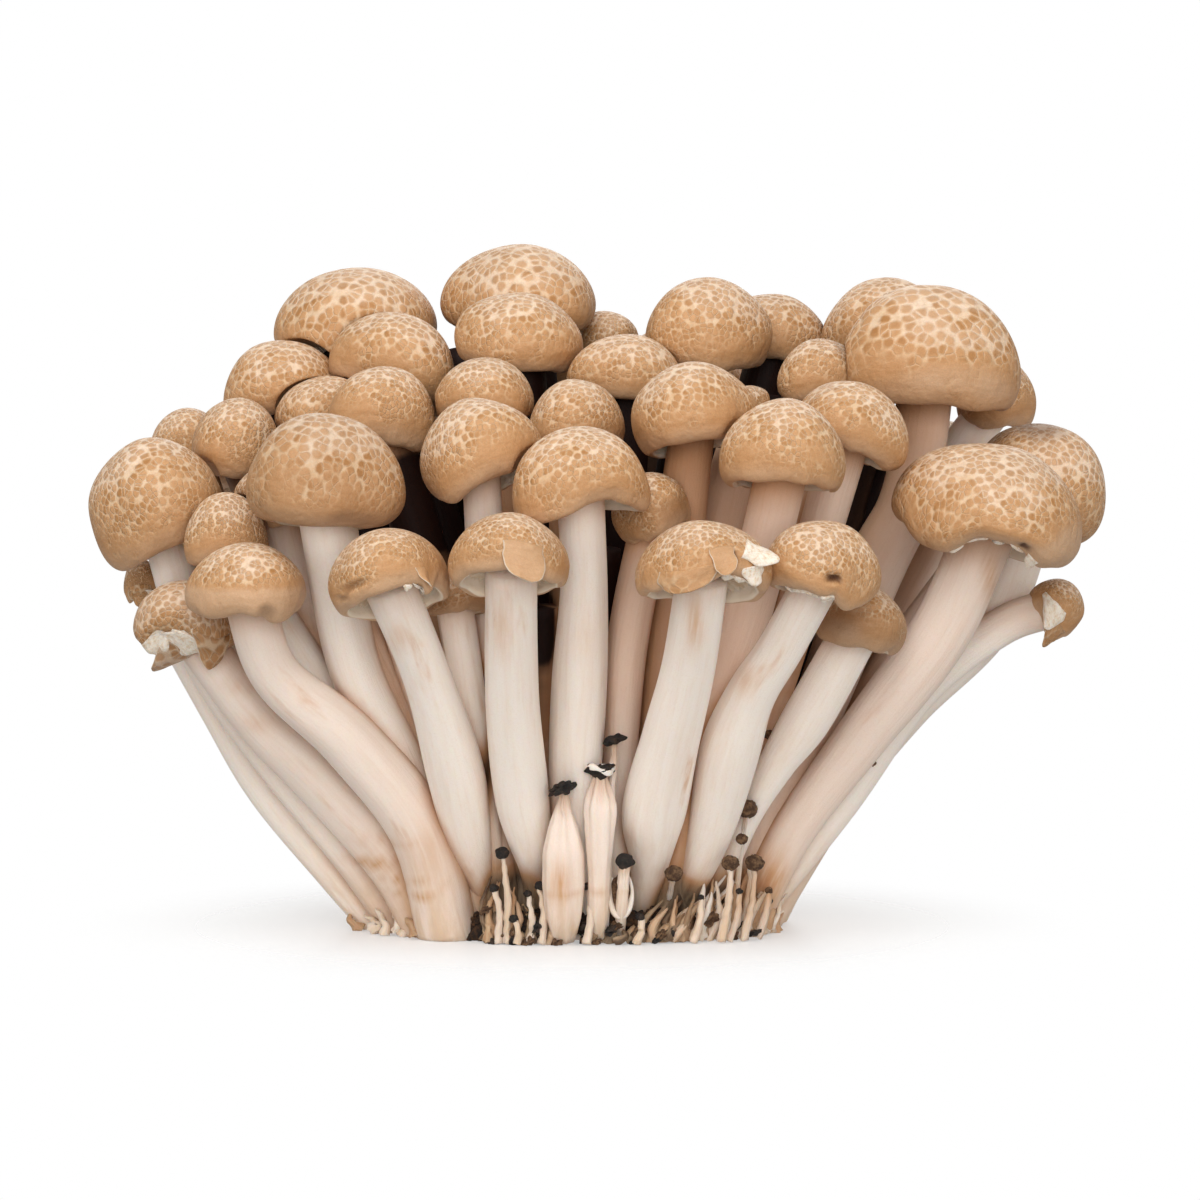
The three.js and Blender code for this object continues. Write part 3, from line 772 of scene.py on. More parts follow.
def cap_material(finish: CapFinish) -> Material:
    """Tan skin with round sunken spots in a pale net, which is bold on top and gone at the rim."""
    # Mushroom skin, grown: dry, thin and finely pored, with moist flesh just below. The eye gets wide
    # dull highlights, a slight glow at thin edges, and a net that no two caps share.
    material, sheet, shader = new_material("cap_skin")
    add = sheet.add
    skin, flat = (add(STORED, {"attribute_name": name}, out="Vector") for name in ("skin_mm", "net_mm"))
    rise, tone, inner = (
        add(STORED, {"attribute_name": name}, out="Fac") for name in ("rise", "tone", "inner")
    )

    # The net: lines between the cells of a random pattern, widened where three cells meet.
    broad = add(NOISE, None, skin, Scale=0.16, Detail=2.0)
    patchy = add(NOISE, None, skin, Scale=0.5, Detail=2.0)
    moved = wandered(sheet, wandered(sheet, flat, 0.6, 0.7), 2.2, 0.22)
    edges, cells = (
        add("ShaderNodeTexVoronoi", {"feature": feature, "voronoi_dimensions": "2D"}, Vector=moved,
            Scale=1 / finish.cell_mm, Randomness=1.0).node
        for feature in ("DISTANCE_TO_EDGE", "F1")
    )
    to_edge = edges.outputs["Distance"]
    lifted = add(MATHS, ADD, rise, add(RANGE, SMOOTH, broad, 0.3, 0.7, -0.25, 0.25))
    height = add(MATHS, ADD, lifted, add(RANGE, SMOOTH, patchy, 0.3, 0.7, -0.14, 0.14))
    bold = add(RANGE, SMOOTH, height, 0.0, 0.8)
    reach = add(RANGE, SMOOTH, bold, 0.0, 1.0, 0.58, 0.49)
    near, far = (add(MATHS, kind, reach, by) for kind, by in ((SUBTRACT, 0.2), (ADD, 0.16)))
    outside = add(RANGE, SMOOTH, cells.outputs["Distance"], near, far)
    width = add(RANGE, SMOOTH, bold, 0.0, 1.0, 0.13, 0.2)
    lines = add(RANGE, SMOOTH, to_edge, -0.04, width, 1.0, 0.0)
    web = add(MATHS, MAXIMUM, lines, outside)
    fade = add(RANGE, SMOOTH, height, -0.4, 0.15)
    breaks = add(NOISE, None, skin, Scale=1.3, Detail=3.0, Roughness=0.6)
    broken = add(RANGE, SMOOTH, breaks, 0.3, 0.6, 0.6, 1.0)
    net = add(MATHS, MULTIPLY, add(MATHS, MULTIPLY, web, broken), fade)

    # The spots, each a little lighter or darker than the next.
    cell_tone = add("ShaderNodeSeparateColor", None, cells.outputs["Color"])
    sunken = add(RANGE, SMOOTH, to_edge, 0.05, 0.3)
    dark = add(MATHS, MULTIPLY, sunken, add(RANGE, SMOOTH, cell_tone, 0.15, 1.0, 0.0, 0.9))
    full = add(BLEND, MIXED, dark, i6=linear(finish.spot), i7=linear(finish.spot_dark), out=2)
    # Towards the top the spots fade into the net: partly the skin's own marbling, partly painted light on
    # the lit top.
    softened = add(RANGE, SMOOTH, bold, 0.3, 1.0, 0.0, 0.22)
    spots = add(BLEND, MIXED, softened, i6=full, i7=linear(finish.net), out=2)

    # The plain band and the rim, with level streaks and freckles.
    above_rim = add(RANGE, SMOOTH, rise, -0.52, -0.2)
    plain = add(BLEND, MIXED, above_rim, i6=linear(finish.rim), i7=linear(finish.skirt), out=2)
    level = add(MAPPING, None, Vector=skin, Scale=(0.35, 0.35, 2.4))
    streaky, freckly = (
        add(NOISE, None, place_on, Scale=scale, Detail=4.0, Roughness=roughness)
        for place_on, scale, roughness in ((level, 1.0, 0.6), (skin, 2.6, 0.65))
    )
    streaks = add(RANGE, SMOOTH, streaky, 0.4, 0.68, 0.0, 0.4)
    freckle = add(RANGE, SMOOTH, freckly, 0.45, 0.7, 0.0, 0.4)
    off_rim = add(RANGE, SMOOTH, rise, -0.5, -0.1, 0.4, 1.0)
    speckled = add(MATHS, MULTIPLY, add(MATHS, MAXIMUM, freckle, streaks), off_rim)

    # All of it, one over the other.
    colour = add(BLEND, MIXED, speckled, i6=plain, i7=linear(finish.spot_dark), out=2)
    # The net is paler on top: partly its own colour, partly painted light on the lit top.
    pale = add(BLEND, MIXED, bold, i6=linear(finish.net_low), i7=linear(finish.net), out=2)
    netted = add(RANGE, SMOOTH, height, -0.35, 0.2)
    warmth = add(RANGE, SMOOTH, broad, 0.35, 0.7, 0.0, 0.16)
    # Painted shade where caps touch, on shaded caps and in holes and creases, together with real bruising,
    # darkens the skin by the tone attribute.
    bruised_and_shaded = add(RANGE, SMOOTH, tone, 0.0, 1.6, 0.0, 0.95)
    for kind, share, over in (
        (MIXED, netted, spots), (MIXED, net, pale), (MIXED, warmth, linear(finish.spot_dark)),
        (DARKENED, bruised_and_shaded, linear(finish.bruise_and_shade)),
    ):
        colour = add(BLEND, kind, share, i6=colour, i7=over, out=2)
    fine = add(NOISE, None, skin, Scale=6.0, Detail=4.0, Roughness=0.7)
    grain = add(RANGE, SMOOTH, fine, 0.25, 0.75, 0.9, 1.06)
    toned = add(VECTORS, SCALE, colour, Scale=grain)
    within = add(RANGE, SMOOTH, inner, 0.15, 0.85)
    final = add(BLEND, MIXED, within, i6=toned, i7=linear(finish.inside), out=2)

    relief = add(MATHS, MULTIPLY, add(MATHS, MULTIPLY, web, fade), finish.dimple_mm)
    pored = add(NOISE, None, skin, Scale=5.0, Detail=4.0, Roughness=0.7)
    pores = add(MATHS, MULTIPLY, pored, 0.06)
    swell = add(MATHS, MULTIPLY, patchy, 0.35)
    total = add(MATHS, ADD, add(MATHS, ADD, relief, pores), swell)
    bump = add(BUMP, None, Strength=1.0, Distance=MM, Height=total)
    sheet.feed(shader, Base_Color=final, Normal=bump, Roughness=finish.roughness,
               Specular_IOR_Level=finish.shine, **flesh_of(0.12, (1.4, 0.8, 0.4)))
    return material


def stem_material(finish: StemFinish) -> Material:
    """Cream flesh like fine felt, with soft strands, a few tan streaks, and warm where light is scarce."""
    # Mushroom flesh, grown in long fibres: soft, moist and dull. The eye gets faint lengthwise strands,
    # a warm glow in thin places and warm shadows where stems stand close.
    material, sheet, shader = new_material("stem_flesh")
    add = sheet.add
    run = add(STORED, {"attribute_name": "run_mm"}, out="Vector")
    low, depth = (add(STORED, {"attribute_name": name}, out="Fac") for name in ("foot", "depth"))
    along, slow = (add(MAPPING, None, Vector=run, Scale=(1.0, 1.0, pace)) for pace in (0.07, 0.22))
    fibres, strands, blots, streaks, felt = (
        add(NOISE, None, place_on, Scale=scale, Detail=detail, Roughness=roughness)
        for place_on, scale, detail, roughness in (
            (along, 3.2, 5.0, 0.65), (along, 0.8, 3.0, 0.55), (slow, 0.22, 3.0, 0.55),
            (slow, 1.1, 4.0, 0.6), (run, 5.0, 4.0, 0.7),
        )
    )
    stained = add(MATHS, MULTIPLY, add(RANGE, SMOOTH, blots, 0.62, 0.76),
                  add(RANGE, SMOOTH, streaks, 0.35, 0.65, 0.1, 0.6))
    marked = add(STORED, {"attribute_name": "stain"}, out="Fac")
    breaks = add(NOISE, None, along, Scale=2.2, Detail=3.0, Roughness=0.6)
    handled = add(MATHS, MULTIPLY, marked, add(RANGE, SMOOTH, breaks, 0.3, 0.6, 0.55, 1.0))
    patches = add(NOISE, None, slow, Scale=0.6, Detail=4.0, Roughness=0.6)
    footed = add(MATHS, MULTIPLY, low, add(RANGE, SMOOTH, patches, 0.34, 0.68, 0.12, 0.7))
    colour = linear(finish.flesh)
    for kind, share, over in (
        (MIXED, add(RANGE, SMOOTH, strands, 0.4, 0.75, 0.0, 0.3), finish.shade),
        (MIXED, add(RANGE, SMOOTH, fibres, 0.5, 0.78, 0.0, 0.2), finish.shade),
        (MIXED, add(RANGE, SMOOTH, felt, 0.45, 0.75, 0.0, 0.3), finish.shade),
        (MIXED, stained, finish.stain),
        (MIXED, handled, finish.stain),
        # Painted shade by the depth attribute: warm where stems touch, under caps and deep inside, near
        # black in the deepest places.
        (DARKENED, add(RANGE, SMOOTH, depth, 0.0, 0.7), finish.crevice),
        (DARKENED, add(RANGE, SMOOTH, depth, 0.5, 1.35), finish.hollow),
        (MIXED, footed, finish.foot),
    ):
        colour = add(BLEND, kind, share, i6=colour, i7=linear(over), out=2)
    height = add(MATHS, ADD, add(MATHS, MULTIPLY, fibres, 0.06), add(MATHS, MULTIPLY, strands, 0.12))
    height = add(MATHS, ADD, height, add(MATHS, MULTIPLY, felt, 0.05))
    bump = add(BUMP, None, Strength=0.8, Distance=MM, Height=height)
    sheet.feed(shader, Base_Color=colour, Normal=bump, Roughness=finish.roughness,
               Specular_IOR_Level=finish.shine, **flesh_of(0.25, (2.2, 1.1, 0.6)))
    return material


def torn_material(finish: TornFinish) -> Material:
    """Bare white flesh where a cap is torn, in ragged fibres."""
    # Mushroom flesh, torn: moist fibres that stand out. The eye gets a bright rough break.
    material, sheet, shader = new_material("torn_flesh")
    add = sheet.add
    run = add(STORED, {"attribute_name": "skin_mm"}, out="Vector")
    fibres = add(NOISE, None, run, Scale=2.2, Detail=5.0, Roughness=0.7)
    share = add(RANGE, SMOOTH, fibres, 0.4, 0.7)
    base = add(BLEND, MIXED, share, i6=linear(finish.bright), i7=linear(finish.dull), out=2)
    bump = add(BUMP, None, Strength=1.0, Distance=finish.fibre_mm * MM, Height=fibres)
    sheet.feed(shader, Base_Color=base, Normal=bump, Roughness=finish.roughness,
               **flesh_of(0.25, (1.6, 1.0, 0.7)))
    return material


def gill_material(finish: GillFinish) -> Material:
    """Thin cream plates, softly mottled with a darker cream."""
    # Gills, grown: thin moist plates side by side. The eye gets soft pale lines that glow at their edges.
    material, sheet, shader = new_material("gill_flesh")
    add = sheet.add
    where = add("ShaderNodeTexCoord", out="Object")
    mottle = add(NOISE, None, where, Scale=finish.grains_per_m, Detail=3.0)
    tone = add(RANGE, SMOOTH, mottle, 0.3, 0.7)
    base = add(BLEND, MIXED, tone, i6=linear(finish.bright), i7=linear(finish.dull), out=2)
    sheet.feed(shader, Base_Color=base, Roughness=finish.roughness, **flesh_of(0.15, (1.5, 1.0, 0.6)))
    return material


def dark_material(finish: DarkFinish) -> Material:
    """Dark crumbly or dried matter with paler flecks."""
    # Dried heads, mould fuzz and the sawdust bed: dull, broken matter. The eye gets near-black with
    # brown flecks and no highlight.
    material, sheet, shader = new_material(finish.name)
    add = sheet.add
    where = add("ShaderNodeTexCoord", out="Object")
    grain = add(NOISE, None, where, Scale=finish.grains_per_m, Detail=6.0, Roughness=0.7)
    flecks = add(RANGE, SMOOTH, grain, 0.42, 0.68)
    base = add(BLEND, MIXED, flecks, i6=linear(finish.low), i7=linear(finish.high), out=2)
    bump = add(BUMP, None, Strength=0.9, Distance=0.4 * MM, Height=grain)
    sheet.feed(shader, Base_Color=base, Normal=bump, Roughness=finish.roughness)
    return material


def floor_material(finish: FloorFinish) -> Material:
    """A pale floor that fades out into the white surround."""
    # Studio paper, rolled smooth: white and dull. The eye gets the cluster's soft shadow and no edge.
    material, sheet, shader = new_material("studio_floor")
    add = sheet.add
    sheet.feed(shader, Base_Color=linear(finish.paper), Roughness=finish.roughness,
               Specular_IOR_Level=finish.shine)
    where = add("ShaderNodeTexCoord", out="Object")
    reach = add(VECTORS, {"operation": "LENGTH"}, where, out="Value")
    clear = add("ShaderNodeBsdfTransparent")
    gone = add(RANGE, SMOOTH, reach, finish.solid_mm * MM, finish.clear_mm * MM, finish.least_clear, 1.0)
    both = add("ShaderNodeMixShader", None, gone, shader.outputs[0], clear)
    sheet.feed(material.node_tree.nodes["Material Output"], Surface=both)
    return material


# ---- caps ----


@dataclass(frozen=True)
class Lobe:
    """A place on a rim that hangs lower or is drawn up.

    Attributes:
        turn: where it is, in degrees around the cap, with -90 towards the front.
        width: its angular half-width in degrees.
        drop: how far the rim hangs lower there, in millimetres; negative draws it up.
        tuck: how far the rim is drawn in towards the stem there, in millimetres.
        square: 2 for a round lobe, more for one with steep sides.
    """

    turn: float
    width: float
    drop: float
    tuck: float = 0.0
    square: float = 2.0


LOBES: dict[str, tuple[Lobe, ...]] = {
    "middle_7": (Lobe(-128, 24, 1.8, 0.2, 4), Lobe(-86, 26, -1.4, 0, 4), Lobe(-40, 24, 0.6)),
    "low_1": (Lobe(-48, 20, 1.2, 0.4), Lobe(-100, 26, -0.6, 0, 3), Lobe(-150, 16, 0.8)),
    "low_2": (Lobe(-48, 26, 1.1, 0.2), Lobe(-68, 7, -0.45), Lobe(-95, 20, -0.4), Lobe(-140, 26, 0.4)),
    "low_3": (Lobe(-80, 26, -0.5), Lobe(-38, 9, 0.9, 0.4, 3)),
    "low_4": (Lobe(-90, 40, -0.4),),
    "low_5": (Lobe(-48, 26, -0.9, 0.1, 4), Lobe(-112, 16, 0.5)),
    "low_6": (Lobe(-42, 26, 1.2, 0.2), Lobe(-72, 8, -0.7), Lobe(-112, 30, -0.5)),
    "front_4": (Lobe(-128, 34, 1.0), Lobe(-62, 30, -0.9)),
    "front_3": (Lobe(-140, 34, 1.0),),
    "front_2": (Lobe(-80, 60, 0.3),),
    "middle_1": (Lobe(-150, 40, 1.0),),
    "middle_8": (Lobe(-60, 40, 1.2, 0.8), Lobe(-130, 30, -1.0)),
}


@dataclass(frozen=True)
class Mark:
    """A place of bruising, a hole, a bump or a bald place on a cap's skin.

    Attributes:
        turn: where it is around the cap, in degrees, with -90 towards the front.
        level: its height, from 1 at the apex over 0 at the widest ring to -1 at the hem.
        size: its half-width and half-height in millimetres.
        push: how far the skin stands in (negative) or out there, in millimetres.
        tone: how dark it is, from 0 to 1: the dark colour of bruising, and painted shade in a hole or
            crease.
        bald: how much of the net is missing there, from 0 to 1.
    """

    turn: float
    level: float
    size: tuple[float, float]
    push: float
    tone: float
    bald: float = 0.0


# Marks that are sunken and strongly toned are holes and creases, and their darkness is painted shade.
MARKS: dict[str, tuple[Mark, ...]] = {
    "shoulder_10": (Mark(-160, 0.75, (4.6, 2.6), -0.15, 0.9), Mark(-40, -0.9, (3.5, 1.5), 0, 0.7)),
    "low_6": (Mark(-76, -0.15, (1.2, 0.55), -0.9, 1.4),),
    "low_2": (Mark(-66, -0.8, (1.2, 0.7), -0.35, 0.6), Mark(-90, -0.4, (12, 2.6), 0, 0, 0.6)),
    "low_3": (Mark(-122, -0.5, (2.0, 0.5), -0.6, 0.5), Mark(-146, -0.7, (1.4, 0.4), -0.4, 0.45)),
    "low_5": (Mark(-60, -0.3, (0.5, 1.6), -0.6, 1.3),),
    "low_1": (Mark(-100, -0.1, (11, 9), 0, 0, -0.8),),
    "middle_7": (Mark(-30, 0.0, (6.5, 7), 0.1, 0.0, 0.7), Mark(-70, -0.9, (0.8, 0.6), -0.6, 1.4)),
    "top_7": (Mark(-150, 0.8, (4, 3), 0.5, 0.0), Mark(-70, -0.2, (9, 2.6), 0, 0.0, 0.35)),
    "front_2": (Mark(-55, -0.8, (3.4, 0.8), 0, 0.3),),
    "low_7": (Mark(-130, 0.1, (4, 3), 0, 0.3, 0.4),),
    "front_5": (Mark(-50, -0.5, (3, 2), -0.3, 0.7),),
}


@dataclass(frozen=True)
class Tatter:
    """A torn tongue of skin or of bare flesh that hangs from a cap.

    Attributes:
        turn: where it starts around the cap, in degrees, with -90 towards the front.
        level: the height where it starts, as in a mark.
        size: its half-width and its length in millimetres.
        curl: degrees that it turns in under the cap along its length; negative turns it outwards.
        slant: degrees that it leans to the right, seen from outside.
        taper: 1 for a pointed end, 6 for a square one.
        rise: how high on the cap its skin looks to be, as in the skin's own attribute.
        pale: whether it is bare flesh.
        tone: how dark it is.
        inset: how far inside the skin it starts, in millimetres.
        roll: how far its side edges stand out, in millimetres.
    """

    turn: float
    level: float
    size: tuple[float, float]
    curl: float = 0.0
    slant: float = 0.0
    taper: float = 4.0
    rise: float = -0.35
    pale: bool = False
    tone: float = 0.0
    inset: float = 0.0
    roll: float = 0.0


def fringe(first: float, last: float, count: int, size: tuple[float, float]) -> tuple[Tatter, ...]:
    """Small bits of bare flesh in a row along a torn rim, of two widths and three lengths."""
    half_width, length = size
    return tuple(
        Tatter(turn, -1, (half_width * (1 + 0.4 * (i % 2)), length * (1 - 0.3 * (i % 3))), 10,
               14 * (i % 3 - 1), 2, pale=True, inset=0.35)
        for i, turn in enumerate(np.linspace(first, last, count))
    )


TATTERS: dict[str, tuple[Tatter, ...]] = {
    "low_4": (Tatter(-75.5, 0.1, (2.5, 5.6), -6, 0, 9, -0.4, roll=0.15),),
    "low_5": (
        Tatter(-106, -0.4, (3.6, 2.7), 8, 0, 7, -0.3),
        Tatter(-73, 0.15, (1.5, 4.6), -12, 4, 6, -0.35, roll=0.9),
        Tatter(-47, 0.15, (1.9, 4.2), -34, 62, 6, pale=True, roll=-0.3),
        Tatter(-40, -0.6, (1.5, 2.4), -20, 24, 3, pale=True),
        *fringe(-60, -30, 3, (0.9, 1.0)),
    ),
    "low_3": (Tatter(-50, -0.55, (1.1, 2.0), -60, 10, 3, -0.3), *fringe(-66, -52, 2, (0.6, 0.8))),
    "low_1": (
        Tatter(-58, -0.6, (2.5, 4.0), 6, 14, 1.7, 0.35, tone=0.2, roll=0.2),
        Tatter(-72, -0.95, (3.0, 8.4), 2, -28, 1.2, 0.75, tone=0.25, inset=0.8),
        Tatter(-108, -0.95, (3.6, 4.0), 8, 4, 3, pale=True, inset=0.4),
        Tatter(-138, -0.9, (2.0, 3.6), 0, 6, 2.2, pale=True, inset=0.3),
        Tatter(-86, -0.95, (2.2, 3.8), 4, 0, 2, pale=True, inset=0.2),
    ),
    "low_6": (
        Tatter(-77, -0.95, (0.9, 1.6), 0, 0, 3, pale=True, inset=0.1),
        *fringe(-126, -84, 6, (0.7, 0.7)),
    ),
    "middle_7": (
        Tatter(-60, -0.95, (0.8, 1.9), 0, 12, 3, pale=True, inset=0.2),
        *fringe(-112, -72, 4, (0.8, 0.6)),
    ),
    "middle_8": (
        Tatter(-64, -0.5, (1.7, 3.4), 10, -12, 1.3, 0.1, tone=0.45),
        Tatter(-100, -0.15, (1.9, 3.2), 8, 4, 1.8, pale=True, inset=-0.1),
    ),
    "middle_10": (
        Tatter(-100, -0.5, (1.6, 2.6), 6, -8, 1.5, 0.0),
        Tatter(-60, -0.8, (0.9, 1.6), 0, 0, 2, pale=True),
    ),
}


@dataclass
class Cap:
    """One cap: where it grew, its size, and how its shape departs from a plain bun."""

    name: str
    at: ndarray
    radius: float
    dome: float
    skirt: float
    lean: float
    nod: float
    oval_turn: float
    lobe_turn: float
    seed: int
    hem: float = COMMON_HEM
    lobes: tuple[Lobe, ...] = field(default_factory=tuple)

    def turned(self) -> ndarray:
        """The rotation from the cap's own frame to the cluster's."""
        nod = Matrix.Rotation(math.radians(self.nod), 3, "X")
        lean = Matrix.Rotation(math.radians(self.lean), 3, "Y")
        return np.array(lean @ nod)

    def outline(self) -> ndarray:
        """Points (distance from the axis, height, 1 inside the rim) from the apex to the stem."""
        belt = -BELT_DROP * self.skirt
        rise, fall = self.dome - belt, self.skirt + belt
        dome = [
            (self.radius * math.cos(a) ** DOME_POWER, belt + rise * math.sin(a) ** DOME_POWER, 0)
            for a in np.radians(np.linspace(90, 0, DOME_ROWS))
        ]
        dome[0] = (0.0, self.dome, 0)
        skirt = [
            (self.radius * (self.hem + (1 - self.hem) * math.cos(b)), belt - fall * math.sin(b), 0)
            for b in np.radians(np.linspace(0, HEM_TURN, HEM_ROWS + 1))[1:]
        ]
        edge = self.hem * self.radius
        lip = [(edge - inset, -self.skirt * low - lower, bare) for inset, low, lower, bare in LIP]
        inside = lip[-1][0] / self.radius
        ceiling = [
            (mix(inside, CEILING_INNER, s) * self.radius, mix(*CEILING_HEIGHTS, s**0.7) * self.skirt, 1.0)
            for s in np.linspace(0, 1, CEILING_ROWS)
        ]
        return np.array(dome + skirt + lip + ceiling)

    def skin_at(self, level: float) -> tuple[float, float]:
        """Distance from the axis and height of the plain skin at a level, as marks give it.

        Args:
            level: 1 at the apex, 0 at the widest ring, -1 at the hem.

        Returns:
            The distance and the height.
        """
        skin = self.outline()[:SKIN_ROWS]
        height = level * (self.dome if level > 0 else self.skirt)
        return float(np.interp(-height, -skin[:, 1], skin[:, 0])), height

    def net_reach(self) -> ndarray:
        """How far each row of the outline lies from the apex on the flat map that the net is drawn on."""
        outline = self.outline()
        reach = [0.0]
        for step, away in zip(np.hypot(*np.diff(outline[:, :2], axis=0).T), outline[1:, 0]):
            stretch = np.clip((reach[-1] + step) / max(away, 0.1), 1, 3)
            reach.append(reach[-1] + step * stretch**NET_SHRINK)
        return np.array(reach)

    def net_place(self, reach: ndarray, turn: ndarray, aside: float | ndarray = 0.0) -> ndarray:
        """Places on the flat map of the net, scaled to the cap and kept apart from other caps' maps.

        Args:
            reach: how far from the apex.
            turn: where around the cap.
            aside: how far beside that.

        Returns:
            One place per point.
        """
        across = reach * np.cos(turn) - aside * np.sin(turn)
        along = reach * np.sin(turn) + aside * np.cos(turn)
        scale = (NET_RADIUS / self.radius) ** NET_POWER
        return np.stack([across * scale + self.seed * 31, along * scale + self.seed * 17, 0 * across], -1)

    def bend(self, local: ndarray) -> ndarray:
        """Gives points of the plain bun the cap's own irregular shape, still in its own frame."""
        plan = np.hypot(local[:, 0], local[:, 1])
        turn = np.arctan2(local[:, 1], local[:, 0])
        swell = (
            1 + OVAL * np.cos(2 * (turn - self.oval_turn)) + TRIANGLE * np.cos(3 * (turn - self.lobe_turn))
        )
        out = local.copy()
        reach = np.minimum(plan / self.radius, 1) ** 3
        below = smooth(0.35 * self.dome, -self.skirt, local[:, 2]) * smooth(0.3, 0.8, plan / self.radius)
        out[:, 2] += 0.5 * reach * np.cos(2 * (turn - self.lobe_turn))
        drop, tuck = self.rim_shift(turn)
        out[:, 2] -= drop * below
        swell = swell - tuck / self.radius * below
        out[:, :2] *= swell[:, None]
        wave = ripple(local + self.seed * 37.0, self.radius * 1.1, self.seed)
        rim_wave = ripple(local + self.seed * 11.0, self.radius * 0.5, self.seed + 500)
        out *= (1 + 0.022 * wave)[:, None]
        out[:, 2] += 0.2 * rim_wave * below
        return out

    def rim_shift(self, turn: ndarray) -> tuple[ndarray, ndarray]:
        """How far the rim hangs lower and is tucked in, at each turn around the cap."""
        drop = np.zeros_like(turn)
        tuck = np.zeros_like(turn)
        for lobe in self.lobes:
            off = (np.degrees(turn) - lobe.turn + 180) % 360 - 180
            share = np.exp(-np.abs(off / lobe.width) ** lobe.square)
            drop += lobe.drop * share
            tuck += lobe.tuck * share
        return drop, tuck

    def press_marks(self, local: ndarray) -> tuple[ndarray, ndarray, ndarray]:
        """Sinks or raises the marks of the skin and gives their darkness and baldness at each point."""
        out, dark, bald = local.copy(), np.zeros(len(local)), np.zeros(len(local))
        for mark in MARKS.get(self.name, ()):
            turn = math.radians(mark.turn)
            away, height = self.skin_at(mark.level)
            off = local - np.array([away * math.cos(turn), away * math.sin(turn), height])
            across = np.hypot(off[:, 0], off[:, 1])
            share = np.exp(-((across / mark.size[0]) ** 4 + (off[:, 2] / mark.size[1]) ** 4))
            outward = local / np.maximum(np.linalg.norm(local, axis=1), 0.1)[:, None]
            out += outward * (mark.push * share)[:, None]
            dark += mark.tone * share
            bald += mark.bald * share
        return out, dark, bald

    def to_world(self, local: ndarray) -> ndarray:
        """Takes points from the cap's frame to the cluster's."""
        return local @ self.turned().T + self.at

    def bun_share(self, points: ndarray, gap: float = 0.0) -> ndarray:
        """How far points lie from the cap's middle, where 1 is on its skin widened by a gap.

        Args:
            points: places in the cluster.
            gap: how much wider the cap counts.

        Returns:
            One share per point.
        """
        local = (points - self.at) @ self.turned()
        height = np.where(local[:, 2] > 0, self.dome + gap, self.skirt * 1.05 + gap)
        across = (local[:, 0] ** 2 + local[:, 1] ** 2) / (self.radius + gap) ** 2
        return np.sqrt(across + (local[:, 2] / height) ** 2)

    def push_out(self, points: ndarray, gap: float = PRESS_GAP) -> ndarray:
        """Moves points that lie inside this cap onto its skin, as a neighbour that yields to it.

        Args:
            points: places in the cluster.
            gap: how far off the skin they end.

        Returns:
            The moved points.
        """
        size = self.bun_share(points, gap)
        grow = np.where(size < 1, 1 / np.maximum(size, 0.25), 1.0)
        return (points - self.at) * grow[:, None] + self.at


def read_caps() -> list[Cap]:
    """Reads the rows of caps, with the same draws as the solid model makes."""
    draw = Drawer(7)
    caps = []
    for row, entries in CAP_ROWS.items():
        for number, (x, y, z, width, dome, skirt, lean) in enumerate(entries, 1):
            oval_turn, lobe_turn = draw() * math.pi, draw() * math.pi
            key = f"{row}_{number}"
            caps.append(
                Cap(key, np.array([x, y, z], float), width / 2, dome, skirt, lean,
                    NODS.get(key, ROW_NODS[row]), oval_turn, lobe_turn, len(caps) + 1,
                    HEMS.get(key, COMMON_HEM), LOBES.get(key, ()))
            )
    return caps


@dataclass
class CapMaker:
    """Shapes the caps, front ones first, so that each yields to those in front of it.

    Attributes:
        caps: all caps.
        skin: their material.
        segments: points around a cap.
        placed: the caps made so far.
    """

    caps: list[Cap]
    skin: Material
    segments: int = 112
    placed: list[Cap] = field(default_factory=list)

    def make_all(self) -> None:
        """Makes every cap."""
        for cap in sorted(self.caps, key=lambda each: each.at[1]):
            self.make(cap)
            self.placed.append(cap)

    def make(self, cap: Cap) -> None:
        """Makes one cap from its outline, swept around and bent, then pressed by its neighbours."""
        outline = cap.outline()
        grid = (len(outline), self.segments)
        turns = np.linspace(0, 2 * math.pi, self.segments, endpoint=False)
        r, z, inner = (outline[:, k][:, None] for k in range(3))
        plain = np.stack([r * np.cos(turns), r * np.sin(turns), np.broadcast_to(z, grid)], 2).reshape(-1, 3)
        marked, bruise_and_shade, bald = cap.press_marks(plain)
        points = cap.to_world(cap.bend(marked))
        for other in self.placed:
            if np.linalg.norm(other.at - cap.at) < other.radius + cap.radius + 2:
                points = other.push_out(points)
        rise = np.where(plain[:, 2] > 0, plain[:, 2] / cap.dome, plain[:, 2] / cap.skirt * 0.5)
        reach = np.broadcast_to(cap.net_reach()[:, None], grid)
        net = cap.net_place(reach, np.broadcast_to(turns, grid)).reshape(-1, 3)
        net = net * NET_GRAINS.get(cap.name, NET_GRAIN)
        # The tone darkens the skin: painted shade on caps that others shade and where caps touch, and the
        # marks' bruising and painted shade in holes and creases.
        tone = TONES.get(cap.name, 0.0) + bruise_and_shade + CONTACT_TONE * self.contact(cap, points)
        piece = build_piece(
            f"skin_{cap.name}", points, grid_faces(*grid), self.skin,
            {"skin_mm": plain + cap.seed * 53.0, "net_mm": net, "rise": rise - 0.8 * bald, "tone": tone,
             "inner": np.repeat(inner[:, 0], self.segments)},
        )
        place(piece, "cap_skin", f"cap_{cap.name}")

    def contact(self, cap: Cap, points: ndarray) -> ndarray:
        """How closely each point of a cap touches other caps, from 0 to 1, which sets the painted shade
        there.
        """
        touch = np.zeros(len(points))
        for other in self.caps:
            if other is not cap and np.linalg.norm(other.at - cap.at) < other.radius + cap.radius + 3:
                away = (other.bun_share(points) - 1) * other.radius
                touch = np.maximum(touch, smooth(CONTACT_REACH, 0.1, away))
        return touch


